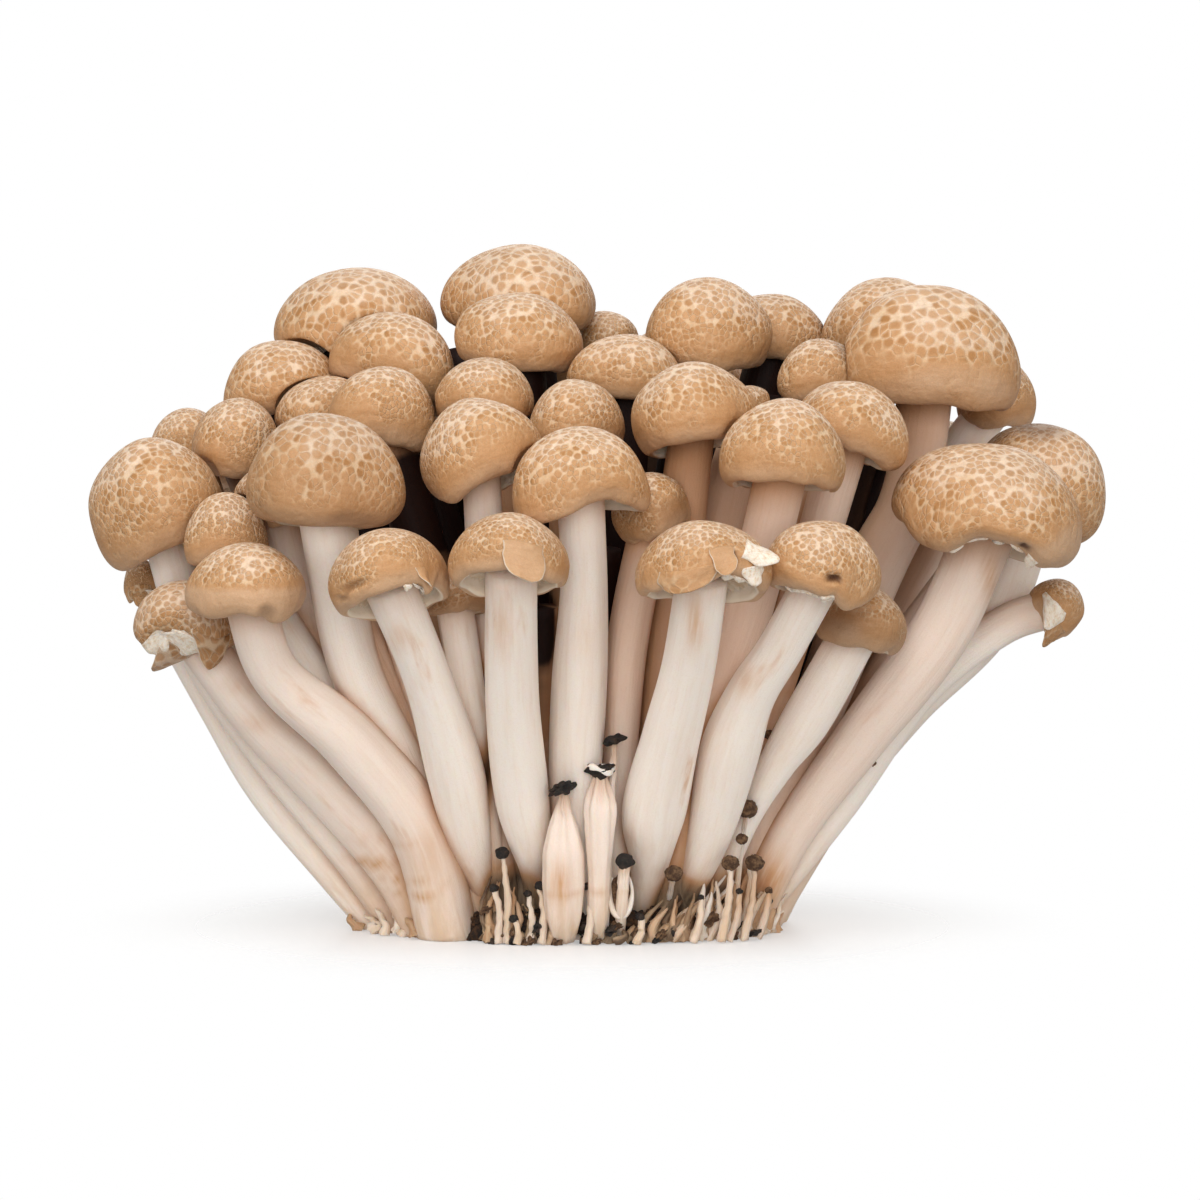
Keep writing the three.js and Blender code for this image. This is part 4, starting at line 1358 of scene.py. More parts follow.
@dataclass
class TatterMaker:
    """Makes the torn tongues that hang from caps, each a flattened closed tube along a curling path.

    Attributes:
        skin: the material of tongues of skin.
        flesh: the material of tongues of bare flesh.
        rings: rings along a tongue.
        around: points around it.
        skin_thickness: half the thickness of a tongue of skin, in millimetres.
        flesh_thickness: half the thickness of one of bare flesh.
    """

    skin: Material
    flesh: Material
    rings: int = 18
    around: int = 28
    skin_thickness: float = 0.28
    flesh_thickness: float = 0.42

    def make_all(self, caps: list[Cap]) -> None:
        """Makes every tatter."""
        for cap in caps:
            for number, tatter in enumerate(TATTERS.get(cap.name, ()), 1):
                self.make(cap, number, tatter)

    def make(self, cap: Cap, number: int, tatter: Tatter) -> None:
        """Makes one tatter from its start on the skin.

        Args:
            cap: the cap that it hangs from.
            number: which of the cap's tatters it is.
            tatter: its shape.
        """
        turn, slant = math.radians(tatter.turn), math.radians(tatter.slant)
        outward, up = np.array([math.cos(turn), math.sin(turn), 0.0]), np.array([0.0, 0.0, 1.0])
        away, height = cap.skin_at(tatter.level)
        step = -0.1 if tatter.level > -0.9 else 0.1
        low_away, low_height = cap.skin_at(tatter.level + step)
        fall = outward * (low_away - away) + up * (low_height - height)
        fall *= -np.sign(fall[2]) / np.linalg.norm(fall)
        side = np.cross(outward, fall)
        side /= np.linalg.norm(side)
        face = np.cross(fall, side)
        onward = math.cos(slant) * fall + math.sin(slant) * side
        across = math.cos(slant) * side - math.sin(slant) * fall

        half_width, length = tatter.size
        v = np.linspace(0, 0.985, self.rings)
        curl = np.radians(tatter.curl) * v
        ahead = np.cos(curl)[:, None] * onward - np.sin(curl)[:, None] * face
        front = np.cos(curl)[:, None] * face + np.sin(curl)[:, None] * onward
        steps = np.vstack([np.zeros(3), ahead[:-1] * (length / self.rings)])
        centres = outward * (away - tatter.inset) + up * height + np.cumsum(steps, axis=0)
        ragged = 1 + (0.1 if tatter.pale else 0.05) * np.sin(v * 9 + number * 2.3 + cap.seed)
        half = half_width * (1 - v**tatter.taper) ** 0.6 * ragged
        thick = (self.flesh_thickness if tatter.pale else self.skin_thickness) * (1 - 0.55 * v)
        theta = np.linspace(0, 2 * math.pi, self.around, endpoint=False)
        aside = half[:, None] * np.cos(theta)
        rise = thick[:, None] * np.sin(theta) - aside**2 / (2 * max(away, 1.0))
        rise += tatter.roll * v[:, None] * (aside / half_width) ** 2
        local = centres[:, None] + across * aside[..., None] + front[:, None] * rise[..., None]
        local = local.reshape(-1, 3)
        local += 0.05 * ripple(local, 1.4, cap.seed * 7 + number)[:, None]
        points = cap.to_world(cap.bend(local))

        faces = grid_faces(self.rings, self.around)
        last = (self.rings - 1) * self.around
        faces += [tuple(reversed(range(self.around))), tuple(range(last, last + self.around))]
        start = np.interp(-height, -cap.outline()[:SKIN_ROWS, 1], cap.net_reach()[:SKIN_ROWS])
        reach = np.broadcast_to((start + v * length)[:, None], aside.shape)
        net = cap.net_place(reach, np.full(aside.shape, turn), aside).reshape(-1, 3)
        under = np.maximum(smooth(0.2, -0.25, np.sin(theta)), 0.7 * smooth(0.9, 1.0, np.abs(np.cos(theta))))
        count = len(local)
        attributes = {
            "skin_mm": local + cap.seed * 53.0, "net_mm": net, "rise": np.full(count, tatter.rise),
            "tone": np.full(count, tatter.tone + TONES.get(cap.name, 0.0)),
            "inner": np.tile(under, self.rings),
        }
        material = self.flesh if tatter.pale else self.skin
        piece = build_piece(f"tatter_{cap.name}_{number}", points, faces, material, attributes)
        slot, node = ("stem_flesh", "stem_cluster") if tatter.pale else ("cap_skin", f"cap_{cap.name}")
        place(piece, slot, node)


# ---- gills ----


def gill_tree(material: Material) -> NodeTree:
    """Geometry nodes that stand thin plates around an axis, from the stem out to the rim."""
    tree = bpy.data.node_groups.new("gill_ring", "GeometryNodeTree")
    face = tree.interface
    face.new_socket("Geometry", in_out="OUTPUT", socket_type="NodeSocketGeometry")
    for name, kind, value in (("Plates", "NodeSocketInt", 60), ("Inner", "NodeSocketFloat", 0.3),
                              ("Stagger", "NodeSocketFloat", 0.35)):
        face.new_socket(name, in_out="INPUT", socket_type=kind).default_value = value
    sheet = NodeSheet(tree)
    add = sheet.add
    given = add("NodeGroupInput").node.outputs
    points = add("GeometryNodePoints", None, Count=given["Plates"])
    blade = add("GeometryNodeMeshGrid", None, Vertices_X=9, Vertices_Y=3)
    upright = add("GeometryNodeTransform", None, Geometry=blade, Translation=(0.5, 0.0, 0.5),
                  Rotation=(math.radians(90), 0.0, 0.0))
    index = add("GeometryNodeInputIndex")
    jitter = add(RANDOM, {"data_type": "FLOAT"}, i2=-0.25, i3=0.25, ID=index, Seed=5, out=1)
    step = add(MATHS, {"operation": "DIVIDE"}, add(MATHS, ADD, index, jitter), given["Plates"])
    spin = add(XYZ, None, Z=add(MATHS, MULTIPLY, step, 2 * math.pi))
    odd = add(MATHS, {"operation": "MODULO"}, index, 2.0)
    inner = add(MATHS, ADD, given["Inner"], add(MATHS, MULTIPLY, odd, given["Stagger"]))
    length = add(MATHS, SUBTRACT, 1.0, inner)
    size = add(XYZ, None, X=length, Y=1.0, Z=1.0)
    stood = add(STREW, None, Points=points, Instance=upright, Rotation=spin, Scale=size)
    shift = add(XYZ, None, X=inner)
    moved = add("GeometryNodeTranslateInstances", None, Instances=stood, Translation=shift)
    real = add("GeometryNodeRealizeInstances", None, Geometry=moved)
    painted = add("GeometryNodeSetMaterial", None, Geometry=real, Material=material)
    add("NodeGroupOutput", None, Geometry=painted)
    return tree


def run_tree(name: str, tree: NodeTree, base: Mesh, **inputs: object) -> Object:
    """Runs geometry nodes on a mesh and keeps the result as a plain mesh.

    Args:
        name: the new object's name.
        tree: the node group.
        base: the mesh that it starts from, which may be empty.
        **inputs: values of the group's named inputs.

    Returns:
        The object with the result in its mesh and no modifier left on it.
    """
    piece = bpy.data.objects.new(name, base)
    bpy.context.scene.collection.objects.link(piece)
    modifier = piece.modifiers.new("nodes", "NODES")
    modifier.node_group = tree
    for item in tree.interface.items_tree:
        if item.item_type == "SOCKET" and item.in_out == "INPUT" and item.name in inputs:
            modifier[item.identifier] = inputs[item.name]
    piece.update_tag()
    graph = bpy.context.evaluated_depsgraph_get()
    mesh = bpy.data.meshes.new_from_object(piece.evaluated_get(graph))
    piece.modifiers.remove(modifier)
    piece.data = mesh
    mesh.name = name
    return piece


@dataclass
class GillMaker:
    """Hangs gill plates under each cap.

    Attributes:
        material: what they are made of.
        per_mm: how many plates there are for each millimetre of a cap's radius.
        limits: the fewest and the most plates of a cap.
        tops: heights of the plates' upper edge at the stem and at the rim, as shares of the skirt, and
            how late it falls.
        hems: the same for their lower edge.
    """

    material: Material
    per_mm: float = 9.0
    limits: tuple[int, int] = (30, 96)
    tops: tuple[float, float, float] = (0.05, -0.6, 1.6)
    hems: tuple[float, float, float] = (-0.25, -0.84, 1.3)

    def __post_init__(self) -> None:
        """Makes the nodes that every cap's gills come from."""
        self.tree = gill_tree(self.material)

    def make(self, cap: Cap, in_front: list[Cap]) -> None:
        """Makes one cap's gills and bends them with the cap.

        Args:
            cap: the cap that they hang under.
            in_front: the caps that they yield to.
        """
        plates = int(np.clip(round(cap.radius * self.per_mm), *self.limits))
        stem = stem_radius(cap)
        piece = run_tree(f"gills_{cap.name}", self.tree, bpy.data.meshes.new("empty"),
                         Plates=plates, Inner=min(stem / cap.radius * 0.9, 0.5))
        raw = read_points(piece.data)
        share = np.hypot(raw[:, 0], raw[:, 1])
        turn = np.arctan2(raw[:, 1], raw[:, 0])
        depth = np.clip(raw[:, 2], 0, 1)
        top, hem = (
            mix(inner, outer, share**late) * cap.skirt for inner, outer, late in (self.tops, self.hems)
        )
        height = mix(hem, top, depth)
        away = share * (cap.hem * cap.radius - RIM_WALL)
        local = np.stack([away * np.cos(turn), away * np.sin(turn), height], 1)
        points = cap.to_world(cap.bend(local))
        for other in in_front:
            points = other.push_out(points)
        write_points(piece.data, points * MM)
        piece.data.update()
        place(piece, "stem_flesh", "stem_cluster")


# ---- stems ----


class Side(Enum):
    """How a stem's two bends lie, as (outward, upward) shares of its run."""

    UPRIGHT = ((0.03, 0.42), (0.67, 0.75))
    LEFT = ((0.5, 0.15), (0.78, 0.62))
    RIGHT = ((0.12, 0.32), (0.46, 0.63))


def stem_radius(cap: Cap) -> float:
    """Half the width of a stem just under its cap."""
    return STEM_LEAST + STEM_PER_CAP * cap.radius


def stem_line(cap: Cap) -> ndarray:
    """The places that a stem's centre line passes, root first, each x, y, z and half-width.

    Args:
        cap: the cap that it carries.

    Returns:
        One row per place.
    """
    tip = cap.at - cap.turned()[:, 2] * cap.skirt * 0.25
    route = ROUTES.get(cap.name)
    if route:
        depths = [mix(route.root[1], tip[1], z / tip[2]) for _, z, _ in route.bends]
        middle = [(x, y, z, width / 2) for (x, z, width), y in zip(route.bends, depths)]
        return np.array([(*route.root, 0, route.foot / 2), *middle, (*tip, middle[-1][3])], float)
    away = math.hypot(cap.at[0], cap.at[1])
    share = min(ROOT_SPREAD, ROOT_REACH / away)
    root = np.array([cap.at[0] * share, cap.at[1] * share, 0.0])
    fan = float(smooth(37, 50, abs(cap.at[0])))
    side = Side.LEFT if cap.at[0] < 0 else Side.RIGHT
    controls = [root]
    for upright, fanned in zip(Side.UPRIGHT.value, side.value):
        outward, upward = (mix(a, b, fan) for a, b in zip(upright, fanned))
        controls.append(mix(root, tip, np.array([outward, outward, upward])))
    points = bezier(np.array(controls + [tip]), np.linspace(0, 1, 6))
    return np.column_stack([points, stem_radius(cap) * np.array([1.2, 1.17, 1.12, 1.06, 1.0, 0.95])])


def filler_line(filler: Sequence[float]) -> ndarray:
    """The places that a stalk without a cap passes, each x, y, z and half-width."""
    root, end = np.array([*filler[:2], 0.0]), np.array(filler[2:5])
    middle = mix(root, end, np.array([0.42, 0.42, 0.5]))
    return np.column_stack([[root, middle, end], filler[5] / 2 * np.array([0.9, 1.05, 0.75])])


def through(points: ndarray, count: int) -> ndarray:
    """A smooth line of count points through the given ones, evenly spaced between neighbours.

    Args:
        points: the places to pass, one per row.
        count: how many points it gets.

    Returns:
        The line's points, one per row.
    """
    ends = np.vstack([2 * points[0] - points[1], points, 2 * points[-1] - points[-2]])
    place_on = np.linspace(0, len(points) - 1, count)
    start = np.minimum(place_on.astype(int), len(points) - 2)
    t = (place_on - start)[:, None]
    before, one, two, after = (ends[start + k] for k in range(4))
    return 0.5 * (
        2 * one + (two - before) * t + (2 * before - 5 * one + 4 * two - after) * t**2
        + (3 * one - before - 3 * two + after) * t**3
    )


def bezier(controls: ndarray, t: ndarray) -> ndarray:
    """Points on a cubic curve."""
    s = 1 - t
    weights = np.stack([s**3, 3 * s * s * t, 3 * s * t * t, t**3], 1)
    return weights @ controls


def sweep(
    centres: ndarray, radii: ndarray, segments: int, seed: int, furrow: float | ndarray = 0.012
) -> tuple[ndarray, ndarray]:
    """A slightly uneven tube around a centre line.

    Args:
        centres: points along the line, in millimetres.
        radii: half-width at each point.
        segments: points around.
        seed: picks the unevenness.
        furrow: depth of its lengthwise furrows, as a share of its radius.

    Returns:
        The points, ring by ring, and for each the place on its own skin (across, across, along).
    """
    ahead = np.gradient(centres, axis=0)
    ahead /= np.linalg.norm(ahead, axis=1)[:, None]
    side = np.cross(np.array([0.0, 1.0, 0.0]), ahead)
    side /= np.linalg.norm(side, axis=1)[:, None]
    front = np.cross(ahead, side)
    turns = np.linspace(0, 2 * math.pi, segments, endpoint=False)
    rng = np.random.default_rng(seed)
    phase = rng.uniform(0, 2 * math.pi, 4)
    length = np.concatenate([[0], np.cumsum(np.linalg.norm(np.diff(centres, axis=0), axis=1))])
    twist = turns[None, :] + (length[:, None] * 0.012)
    uneven = (
        1 + 0.055 * np.cos(2 * twist + phase[0] + length[:, None] * 0.03)
        + 0.03 * np.cos(3 * twist + phase[1]) + furrow * np.cos(7 * twist + phase[2])
        + 0.03 * np.sin(length[:, None] * 0.16 + phase[3])
    )
    reach = radii[:, None] * uneven
    across, along = reach * np.cos(turns), reach * np.sin(turns)
    points = centres[:, None] + side[:, None] * across[..., None] + front[:, None] * along[..., None]
    skin = np.stack([across, along, np.broadcast_to(length[:, None], across.shape)], 2)
    return points.reshape(-1, 3), skin.reshape(-1, 3) + seed * 29.0


def hollowed(points: ndarray) -> ndarray:
    """How dark each point is that lies in one of the deep places."""
    total = np.zeros(len(points))
    for x, z, half_width, half_height, strength, back in HOLLOWS:
        off = ((points[:, 0] - x) / half_width) ** 4 + ((points[:, 2] - z) / half_height) ** 4
        total += strength * np.exp(-off) * smooth(back - 1.5, back + 1.5, points[:, 1])
    return total * smooth(3, -3, points[:, 1])


def inwardness(points: ndarray) -> ndarray:
    """How deep points lie inside the cluster: 0 at its outer face, 1 in the dark middle."""
    across, along, height = points.T
    spread = 19 + 0.66 * height
    reach = np.hypot(across / (spread * 1.15), along / (spread * 0.82))
    return smooth(1.0, 0.45, reach) * smooth(6, 32, height)


def stained(points: ndarray) -> ndarray:
    """How discoloured each point of the front stems is."""
    total = np.zeros(len(points))
    for x, z, half_width, half_height, strength in STAINS:
        off = ((points[:, 0] - x) / half_width) ** 2 + ((points[:, 2] - z) / half_height) ** 2
        total += strength * np.exp(-off) * (points[:, 1] < -6)
    return total


@dataclass
class StemMaker:
    """Makes the stems, the foot that they share, and the small stalks.

    Attributes:
        caps: all caps.
        flesh: the material of stems, foot and stalks.
        foot_radius: how wide the foot is.
        foot_hollow: how much narrower it is at the front, where the bed sits.
        foot_left: how much wider it is at its front left.
        ring_radius: how wide the pale ring around one small stalk's head is.
    """

    caps: list[Cap]
    flesh: Material
    foot_radius: float = 18.4
    foot_hollow: float = 4.2
    foot_left: float = 2.4
    ring_radius: float = 1.5

    def __post_init__(self) -> None:
        """Works out the centre line of each stem and stalk, by the name of its piece."""
        self.lines = {f"stem_{cap.name}": through(stem_line(cap), STEM_RINGS) for cap in self.caps}
        for number, filler in enumerate(FILLERS, 1):
            self.lines[f"stalk_{number}"] = through(filler_line(filler), FILLER_RINGS)

    def make_stem(self, cap: Cap) -> None:
        """Makes the stem of one cap, which yields to the other caps that it passes."""
        name = f"stem_{cap.name}"
        line = self.lines[name]
        points, skin = sweep(line[:, :3], line[:, 3], STEM_SEGMENTS, cap.seed)
        for other in self.caps:
            if other is not cap:
                points = other.push_out(points, 0.1)
        # Painted shade deep inside the cluster and under its own cap, with more on some stems from the
        # shade and tint table.
        shade = STEM_SHADE.get(cap.name, ROW_SHADE[cap.name.split("_")[0]])
        under_cap = UNDER_CAP_SHADE * smooth(UNDER_CAP_REACH, 0, line[-1, 2] - points[:, 2])
        self.add_stalk(name, points, skin, STEM_RINGS, shade, under_cap + STEM_SHADE_AND_TINT.get(cap.name, 0.0))

    def crevice(self, name: str, points: ndarray) -> ndarray:
        """How closely each point of a stem touches other stems, from 0 to 1, which sets the painted shade
        there.

        Args:
            name: the stem's piece.
            points: its points.

        Returns:
            One value per point.
        """
        near = np.full(len(points), 9.0)
        low, high = points.min(axis=0) - 4, points.max(axis=0) + 4
        for other, line in self.lines.items():
            places = line[::2]
            places = places[np.all((places[:, :3] > low) & (places[:, :3] < high), axis=1)]
            if other != name and len(places):
                away = np.linalg.norm(points[:, None] - places[None, :, :3], axis=2) - places[:, 3]
                near = np.minimum(near, away.min(axis=1))
        return smooth(CREVICE_REACH, -0.3, near)

    def make_filler(self, number: int) -> None:
        """Makes a stalk without a cap, which fills the fan behind the others."""
        name = f"stalk_{number}"
        line = self.lines[name]
        points, skin = sweep(line[:, :3], line[:, 3], 20, 700 + number)
        for cap in self.caps:
            points = cap.push_out(points, 0.1)
        self.add_stalk(name, points, skin, FILLER_RINGS, FILLERS[number - 1][-1])

    def add_stalk(self, name: str, points: ndarray, skin: ndarray, rings: int, shade: float,
                  extra: float | ndarray = 0.0, crowded: bool = True) -> None:
        """Makes the piece of one stalk.

        Args:
            name: the piece's name.
            points: its points, ring by ring from the root, in millimetres.
            skin: the place of each point on its own skin.
            rings: how many rings there are.
            shade: how dark it gets where it lies deep inside the cluster.
            extra: further painted shade at each point, and for strands also their own darker colour.
            crowded: whether painted shade in deep places and between stems darkens it too.
        """
        points[:, 2] = np.maximum(points[:, 2], 0.0)
        segments = len(points) // rings
        faces = grid_faces(rings, segments)
        faces.append(tuple(range((rings - 1) * segments, rings * segments)))
        faces.append(tuple(reversed(range(segments))))
        # Painted shade, carried by the depth attribute: deep inside, from extra, in deep places and where
        # stems touch.
        depth = inwardness(points) * shade + extra
        if crowded:
            depth += hollowed(points)
            depth += CREVICE_SHADE * self.crevice(name, points)
        attributes = {"run_mm": skin, "foot": smooth(15, 0, points[:, 2]), "depth": depth,
                      "stain": stained(points)}
        place(build_piece(name, points, faces, self.flesh, attributes), "stem_flesh", "stem_cluster")

    def make_foot(self) -> None:
        """Makes the heart that the stems share, hollow at the front where the dark bed sits."""
        turns = np.linspace(0, 2 * math.pi, FOOT_SEGMENTS, endpoint=False)
        degrees = np.degrees(turns)
        front = smooth(228, 244, degrees) * smooth(326, 312, degrees)
        left = np.exp(-(((degrees - 212) / 11) ** 2))
        rings = []
        for share, z in FOOT_LEVELS:
            lumps = 1 + 0.035 * np.cos(9 * turns + 1.0) + 0.02 * np.cos(23 * turns + z * 0.15)
            low = float(smooth(14, 4, z))
            r = share * lumps * (
                self.foot_radius - self.foot_hollow * front * low + self.foot_left * left * low
            )
            rings.append(np.stack([r * np.cos(turns), r * np.sin(turns), np.full(len(r), float(z))], 1))
        points = np.concatenate(rings)
        height = points[:, 2]
        # Painted shade: darker higher up, inside the cluster, and low at the front in the hollow where the
        # bed sits.
        depth = smooth(3, 16, height) * 1.2 + 1.4 * np.tile(front, len(rings)) * smooth(11, 7, height)
        attributes = {
            "run_mm": points, "foot": smooth(14, 0, height), "stain": stained(points), "depth": depth,
        }
        faces = grid_faces(len(rings), FOOT_SEGMENTS)
        place(build_piece("foot", points, faces, self.flesh, attributes), "stem_flesh", "stem_cluster")

    def make_pin(self, number: int, pin: Sequence[float], kind: HeadKind, dark: Material) -> None:
        """Makes one unopened mushroom: a furrowed stalk that is widest low down, with a dark head.

        Args:
            number: which small stalk it is.
            pin: its row in the table.
            kind: what became of its head.
            dark: the head's material.
        """
        x, y, z, head_width, width, foot = pin
        root = np.array([foot, y * PIN_ROOT, 0.0])
        knee = np.array([foot, y * PIN_KNEE[0], PIN_KNEE[1]])
        head = np.array([x, y, z])
        centres = through(np.array([root, knee, head]), PIN_RINGS)
        bow = -3.0 if PIN_SHAPES[number - 1] is PinShape.HIDDEN else 0.8
        centres[:, 1] -= bow * np.sin(np.clip(centres[:, 2] / z, 0, 1) * math.pi)
        height = np.clip(centres[:, 2] / z, 0, 1)
        half = np.interp(height, *PIN_SHAPES[number - 1].value) * width / 2
        furrow = (0.05 + 0.15 * smooth(0.55, 0.95, height))[:, None]
        points, skin = sweep(centres, half, 48, 900 + number, furrow)
        points += (0.12 * smooth(0.5, 0.9, points[:, 2] / z) * ripple(points, 1.2, 950 + number))[:, None]
        neck = 0.25 * smooth(0.75, 1, points[:, 2] / z)
        self.add_stalk(f"pin_stalk_{number}", points, skin, PIN_RINGS, 0.0, PIN_SHADE + neck, crowded=False)
        if kind is HeadKind.RING:
            turn = np.linspace(0, 2 * math.pi, RIM_POINTS)
            across, along = self.ring_radius * np.cos(turn), self.ring_radius * np.sin(turn)
            ring = head + np.stack([across, along, 0.35 * np.sin(2 * turn) - 0.2], 1)
            points, skin = sweep(ring, 0.34 + 0.12 * np.sin(5 * turn), 12, 960 + number, 0.12)
            self.add_stalk(f"pin_ring_{number}", points, skin, RIM_POINTS, 0.0, crowded=False)
        place(make_head(f"pin_cap_{number}", head, head_width, kind, dark, number), "pin_head",
              f"pin_head_{number}")


def make_head(
    name: str, at: ndarray, width: float, kind: HeadKind, dark: Material, seed: int,
    stretch: Sequence[float] = (1, 1, 1),
) -> Object:
    """Makes one unopened head: a rough ball, a flat lid, a ring or a torn rag.

    Args:
        name: the piece's name.
        at: its middle.
        width: how wide it is.
        kind: what became of it.
        dark: its material.
        seed: picks its roughness.
        stretch: how much longer it is along each axis.

    Returns:
        The new piece.
    """
    rings, segments = 26, 52
    a = np.radians(np.linspace(90, -75, rings))
    turns = np.linspace(0, 2 * math.pi, segments, endpoint=False)
    r = width / 2 * np.cos(a)[:, None]
    height = np.broadcast_to((width * 0.44 * np.sin(a))[:, None], (rings, segments))
    ball = np.stack([r * np.cos(turns), r * np.sin(turns), height], 2).reshape(-1, 3)
    ball *= (1 + kind.value * ripple(ball + seed * 9.0, width * 0.45, seed))[:, None]
    if kind is HeadKind.FUZZY:
        ball *= (1 + 0.05 * ripple(ball + seed * 5.0, 0.35, seed + 40))[:, None]
    if kind in (HeadKind.TORN, HeadKind.FLAT):
        ball[:, 2] *= 0.55
        ball[:, 2] += 0.22 * ball[:, 0]
    if kind is HeadKind.RING:
        ball[:, 2] *= 0.5
        away = np.hypot(ball[:, 0], ball[:, 1])
        ball[:, 2] -= 0.9 * np.exp(-((away / (width * 0.3)) ** 2))
    points = ball * np.array(stretch) + at
    points[:, 2] = np.maximum(points[:, 2], 0.0)
    return build_piece(name, points, grid_faces(rings, segments), dark)


@dataclass
class BaseMaker:
    """Makes what crowds the front of the foot: thin strands, small heads and crumbs of the bed.

    Attributes:
        stems: the maker of stems, whose flesh the strands share.
        dark: the material of dried heads.
        fuzz: that of fuzzy heads.
        seed: picks how strands and crumbs vary.
    """

    stems: StemMaker
    dark: Material
    fuzz: Material
    seed: int = 17

    def make_all(self) -> None:
        """Makes every strand and head."""
        for number, head in enumerate(HEADS, 1):
            material = self.fuzz if head.kind is HeadKind.FUZZY else self.dark
            piece = make_head(f"head_{number}", np.array(head.at), head.width, head.kind, material,
                              30 + number)
            place(piece, "pin_head", "stem_cluster")
        rng = np.random.default_rng(self.seed)
        for row in STRAND_ROWS:
            self.make_strands(row, rng)
        self.make_crumbs(rng)
        for number, head in enumerate(HEADS, 1):
            if HEAD_STALK_LOWEST < head.at[2] < HEAD_STALK_HIGHEST:
                self.make_head_stalk(number, head)
        self.make_pocket()

    def make_strands(self, row: StrandRow, rng: np.random.Generator) -> None:
        """Makes a row of thin wrinkled strands that stand up in front of the feet."""
        across, deep = SKIRTING
        start, end = row.heights
        for number, x in enumerate(np.linspace(*row.span, row.count)):
            x += rng.uniform(-0.35, 0.35)
            y = -deep * rng.uniform(0.88, 1.0) * math.sqrt(max(1 - (x / across) ** 2, 0.05))
            top = np.interp(number / row.count, (0, 0.7, 1), (start, end, end * 0.5))
            top *= rng.uniform(0.45, 1.05)
            root = np.array([x, y, rng.uniform(0, 0.6)])
            aside = x + rng.uniform(-1.5, 1.5) + row.splay * 0.3
            bow = np.array([aside, y - rng.uniform(0, 0.6), top * 0.5])
            tip = np.array([x + row.splay * rng.uniform(0.3, 1.6) + rng.uniform(-0.5, 0.5), y + 1.6, top])
            line = through(np.array([root, bow, tip]), STRAND_RINGS)
            swell = np.interp(np.linspace(0, 1, STRAND_RINGS), (0, 0.3, 0.6, 1), (0.75, 0.5, 0.4, 0.12))
            dark = rng.uniform(0.55, 1.0) if rng.random() < 0.42 else rng.uniform(0.0, 0.3)
            if row.in_bed:
                dark += MURK * float(smooth(17, 11, x))
            radii = swell * rng.uniform(0.6, 1.2)
            self.add_strand(f"strand_{row.name}_{number}", line, radii, 400 + number, dark)

    def make_crumbs(self, rng: np.random.Generator) -> None:
        """Strews dark crumbs of the bed among the strands."""
        across, deep = SKIRTING
        for number, x in enumerate(np.linspace(-10.5, 23.5, CRUMB_COUNT)):
            x += rng.uniform(-0.5, 0.5)
            y = -deep * rng.uniform(0.97, 1.04) * math.sqrt(1 - (x / across) ** 2)
            at = np.array([x, y, rng.uniform(0.1, 1.0) ** 2 * 4.5])
            material = self.dark if number % 2 else self.fuzz
            crumb = make_head(f"crumb_{number}", at, rng.uniform(0.8, 1.9), HeadKind.TORN, material,
                              80 + number, (1, 1, 1.7))
            place(crumb, "pin_head", "stem_cluster")

    def make_head_stalk(self, number: int, head: Head) -> None:
        """Makes the thin stalk that carries a small dark head."""
        x, y, z = head.at
        root, bow = (x * 0.94, y - 0.2, 0.2), (x * 0.97 + 0.4, y - 0.5, z * 0.55)
        line = through(np.array([root, bow, head.at]), STRAND_RINGS)
        radii = np.linspace(0.5, 0.26, STRAND_RINGS)
        self.add_strand(f"strand_head_{number}", line, radii, 470 + number, 0.3)

    def add_strand(self, name: str, line: ndarray, radii: ndarray, seed: int, shade: float) -> None:
        """Makes one strand along a line.

        Args:
            name: the piece's name.
            line: points along its middle.
            radii: its half-width at each.
            seed: picks its unevenness.
            shade: how dark it is.
        """
        points, skin = sweep(line, radii, 16, seed, furrow=0.2)
        points += 0.12 * ripple(points, 1.6, seed)[:, None]
        self.stems.add_stalk(name, points, skin, STRAND_RINGS, 0.0, shade, crowded=False)

    def make_pocket(self) -> None:
        """Makes the brown pocket between two small stalks, with its pale rim open at the top."""
        x, y, z = POCKET
        turn = np.radians(np.linspace(140, 400, 32))
        line = np.stack([x + 1.35 * np.cos(turn), np.full(32, y), z + 2.9 * np.sin(turn)], 1)
        radii = 0.42 * np.sin(np.linspace(0.35, math.pi - 0.35, 32))
        points, skin = sweep(line, radii, 16, 990, furrow=0.12)
        self.stems.add_stalk("pocket_rim", points, skin, 32, 0.0)
        inside = make_head("pocket_inside", np.array(POCKET), 1.0, HeadKind.FUZZY, self.fuzz, 77,
                           (2.3, 0.9, 5.6))
        place(inside, "pin_head", "stem_cluster")


# ---- the dark bed ----

BED_SWELL = (1.04, 1.04, 0.7)  # how much wider and lower it is than its solid
BED_VOXEL = 0.5
BED_LUMPS = ((0.35, 2.2, 61), (0.2, 1.0, 62))  # height and wavelength of its relief, and the seed of each
CRUMBS_PER_SQUARE_METRE = 9.0e5
CRUMB_SIZES = ((0.15, 0.15, 0.2), (0.5, 0.4, 0.8))  # the least and the greatest half-widths of one

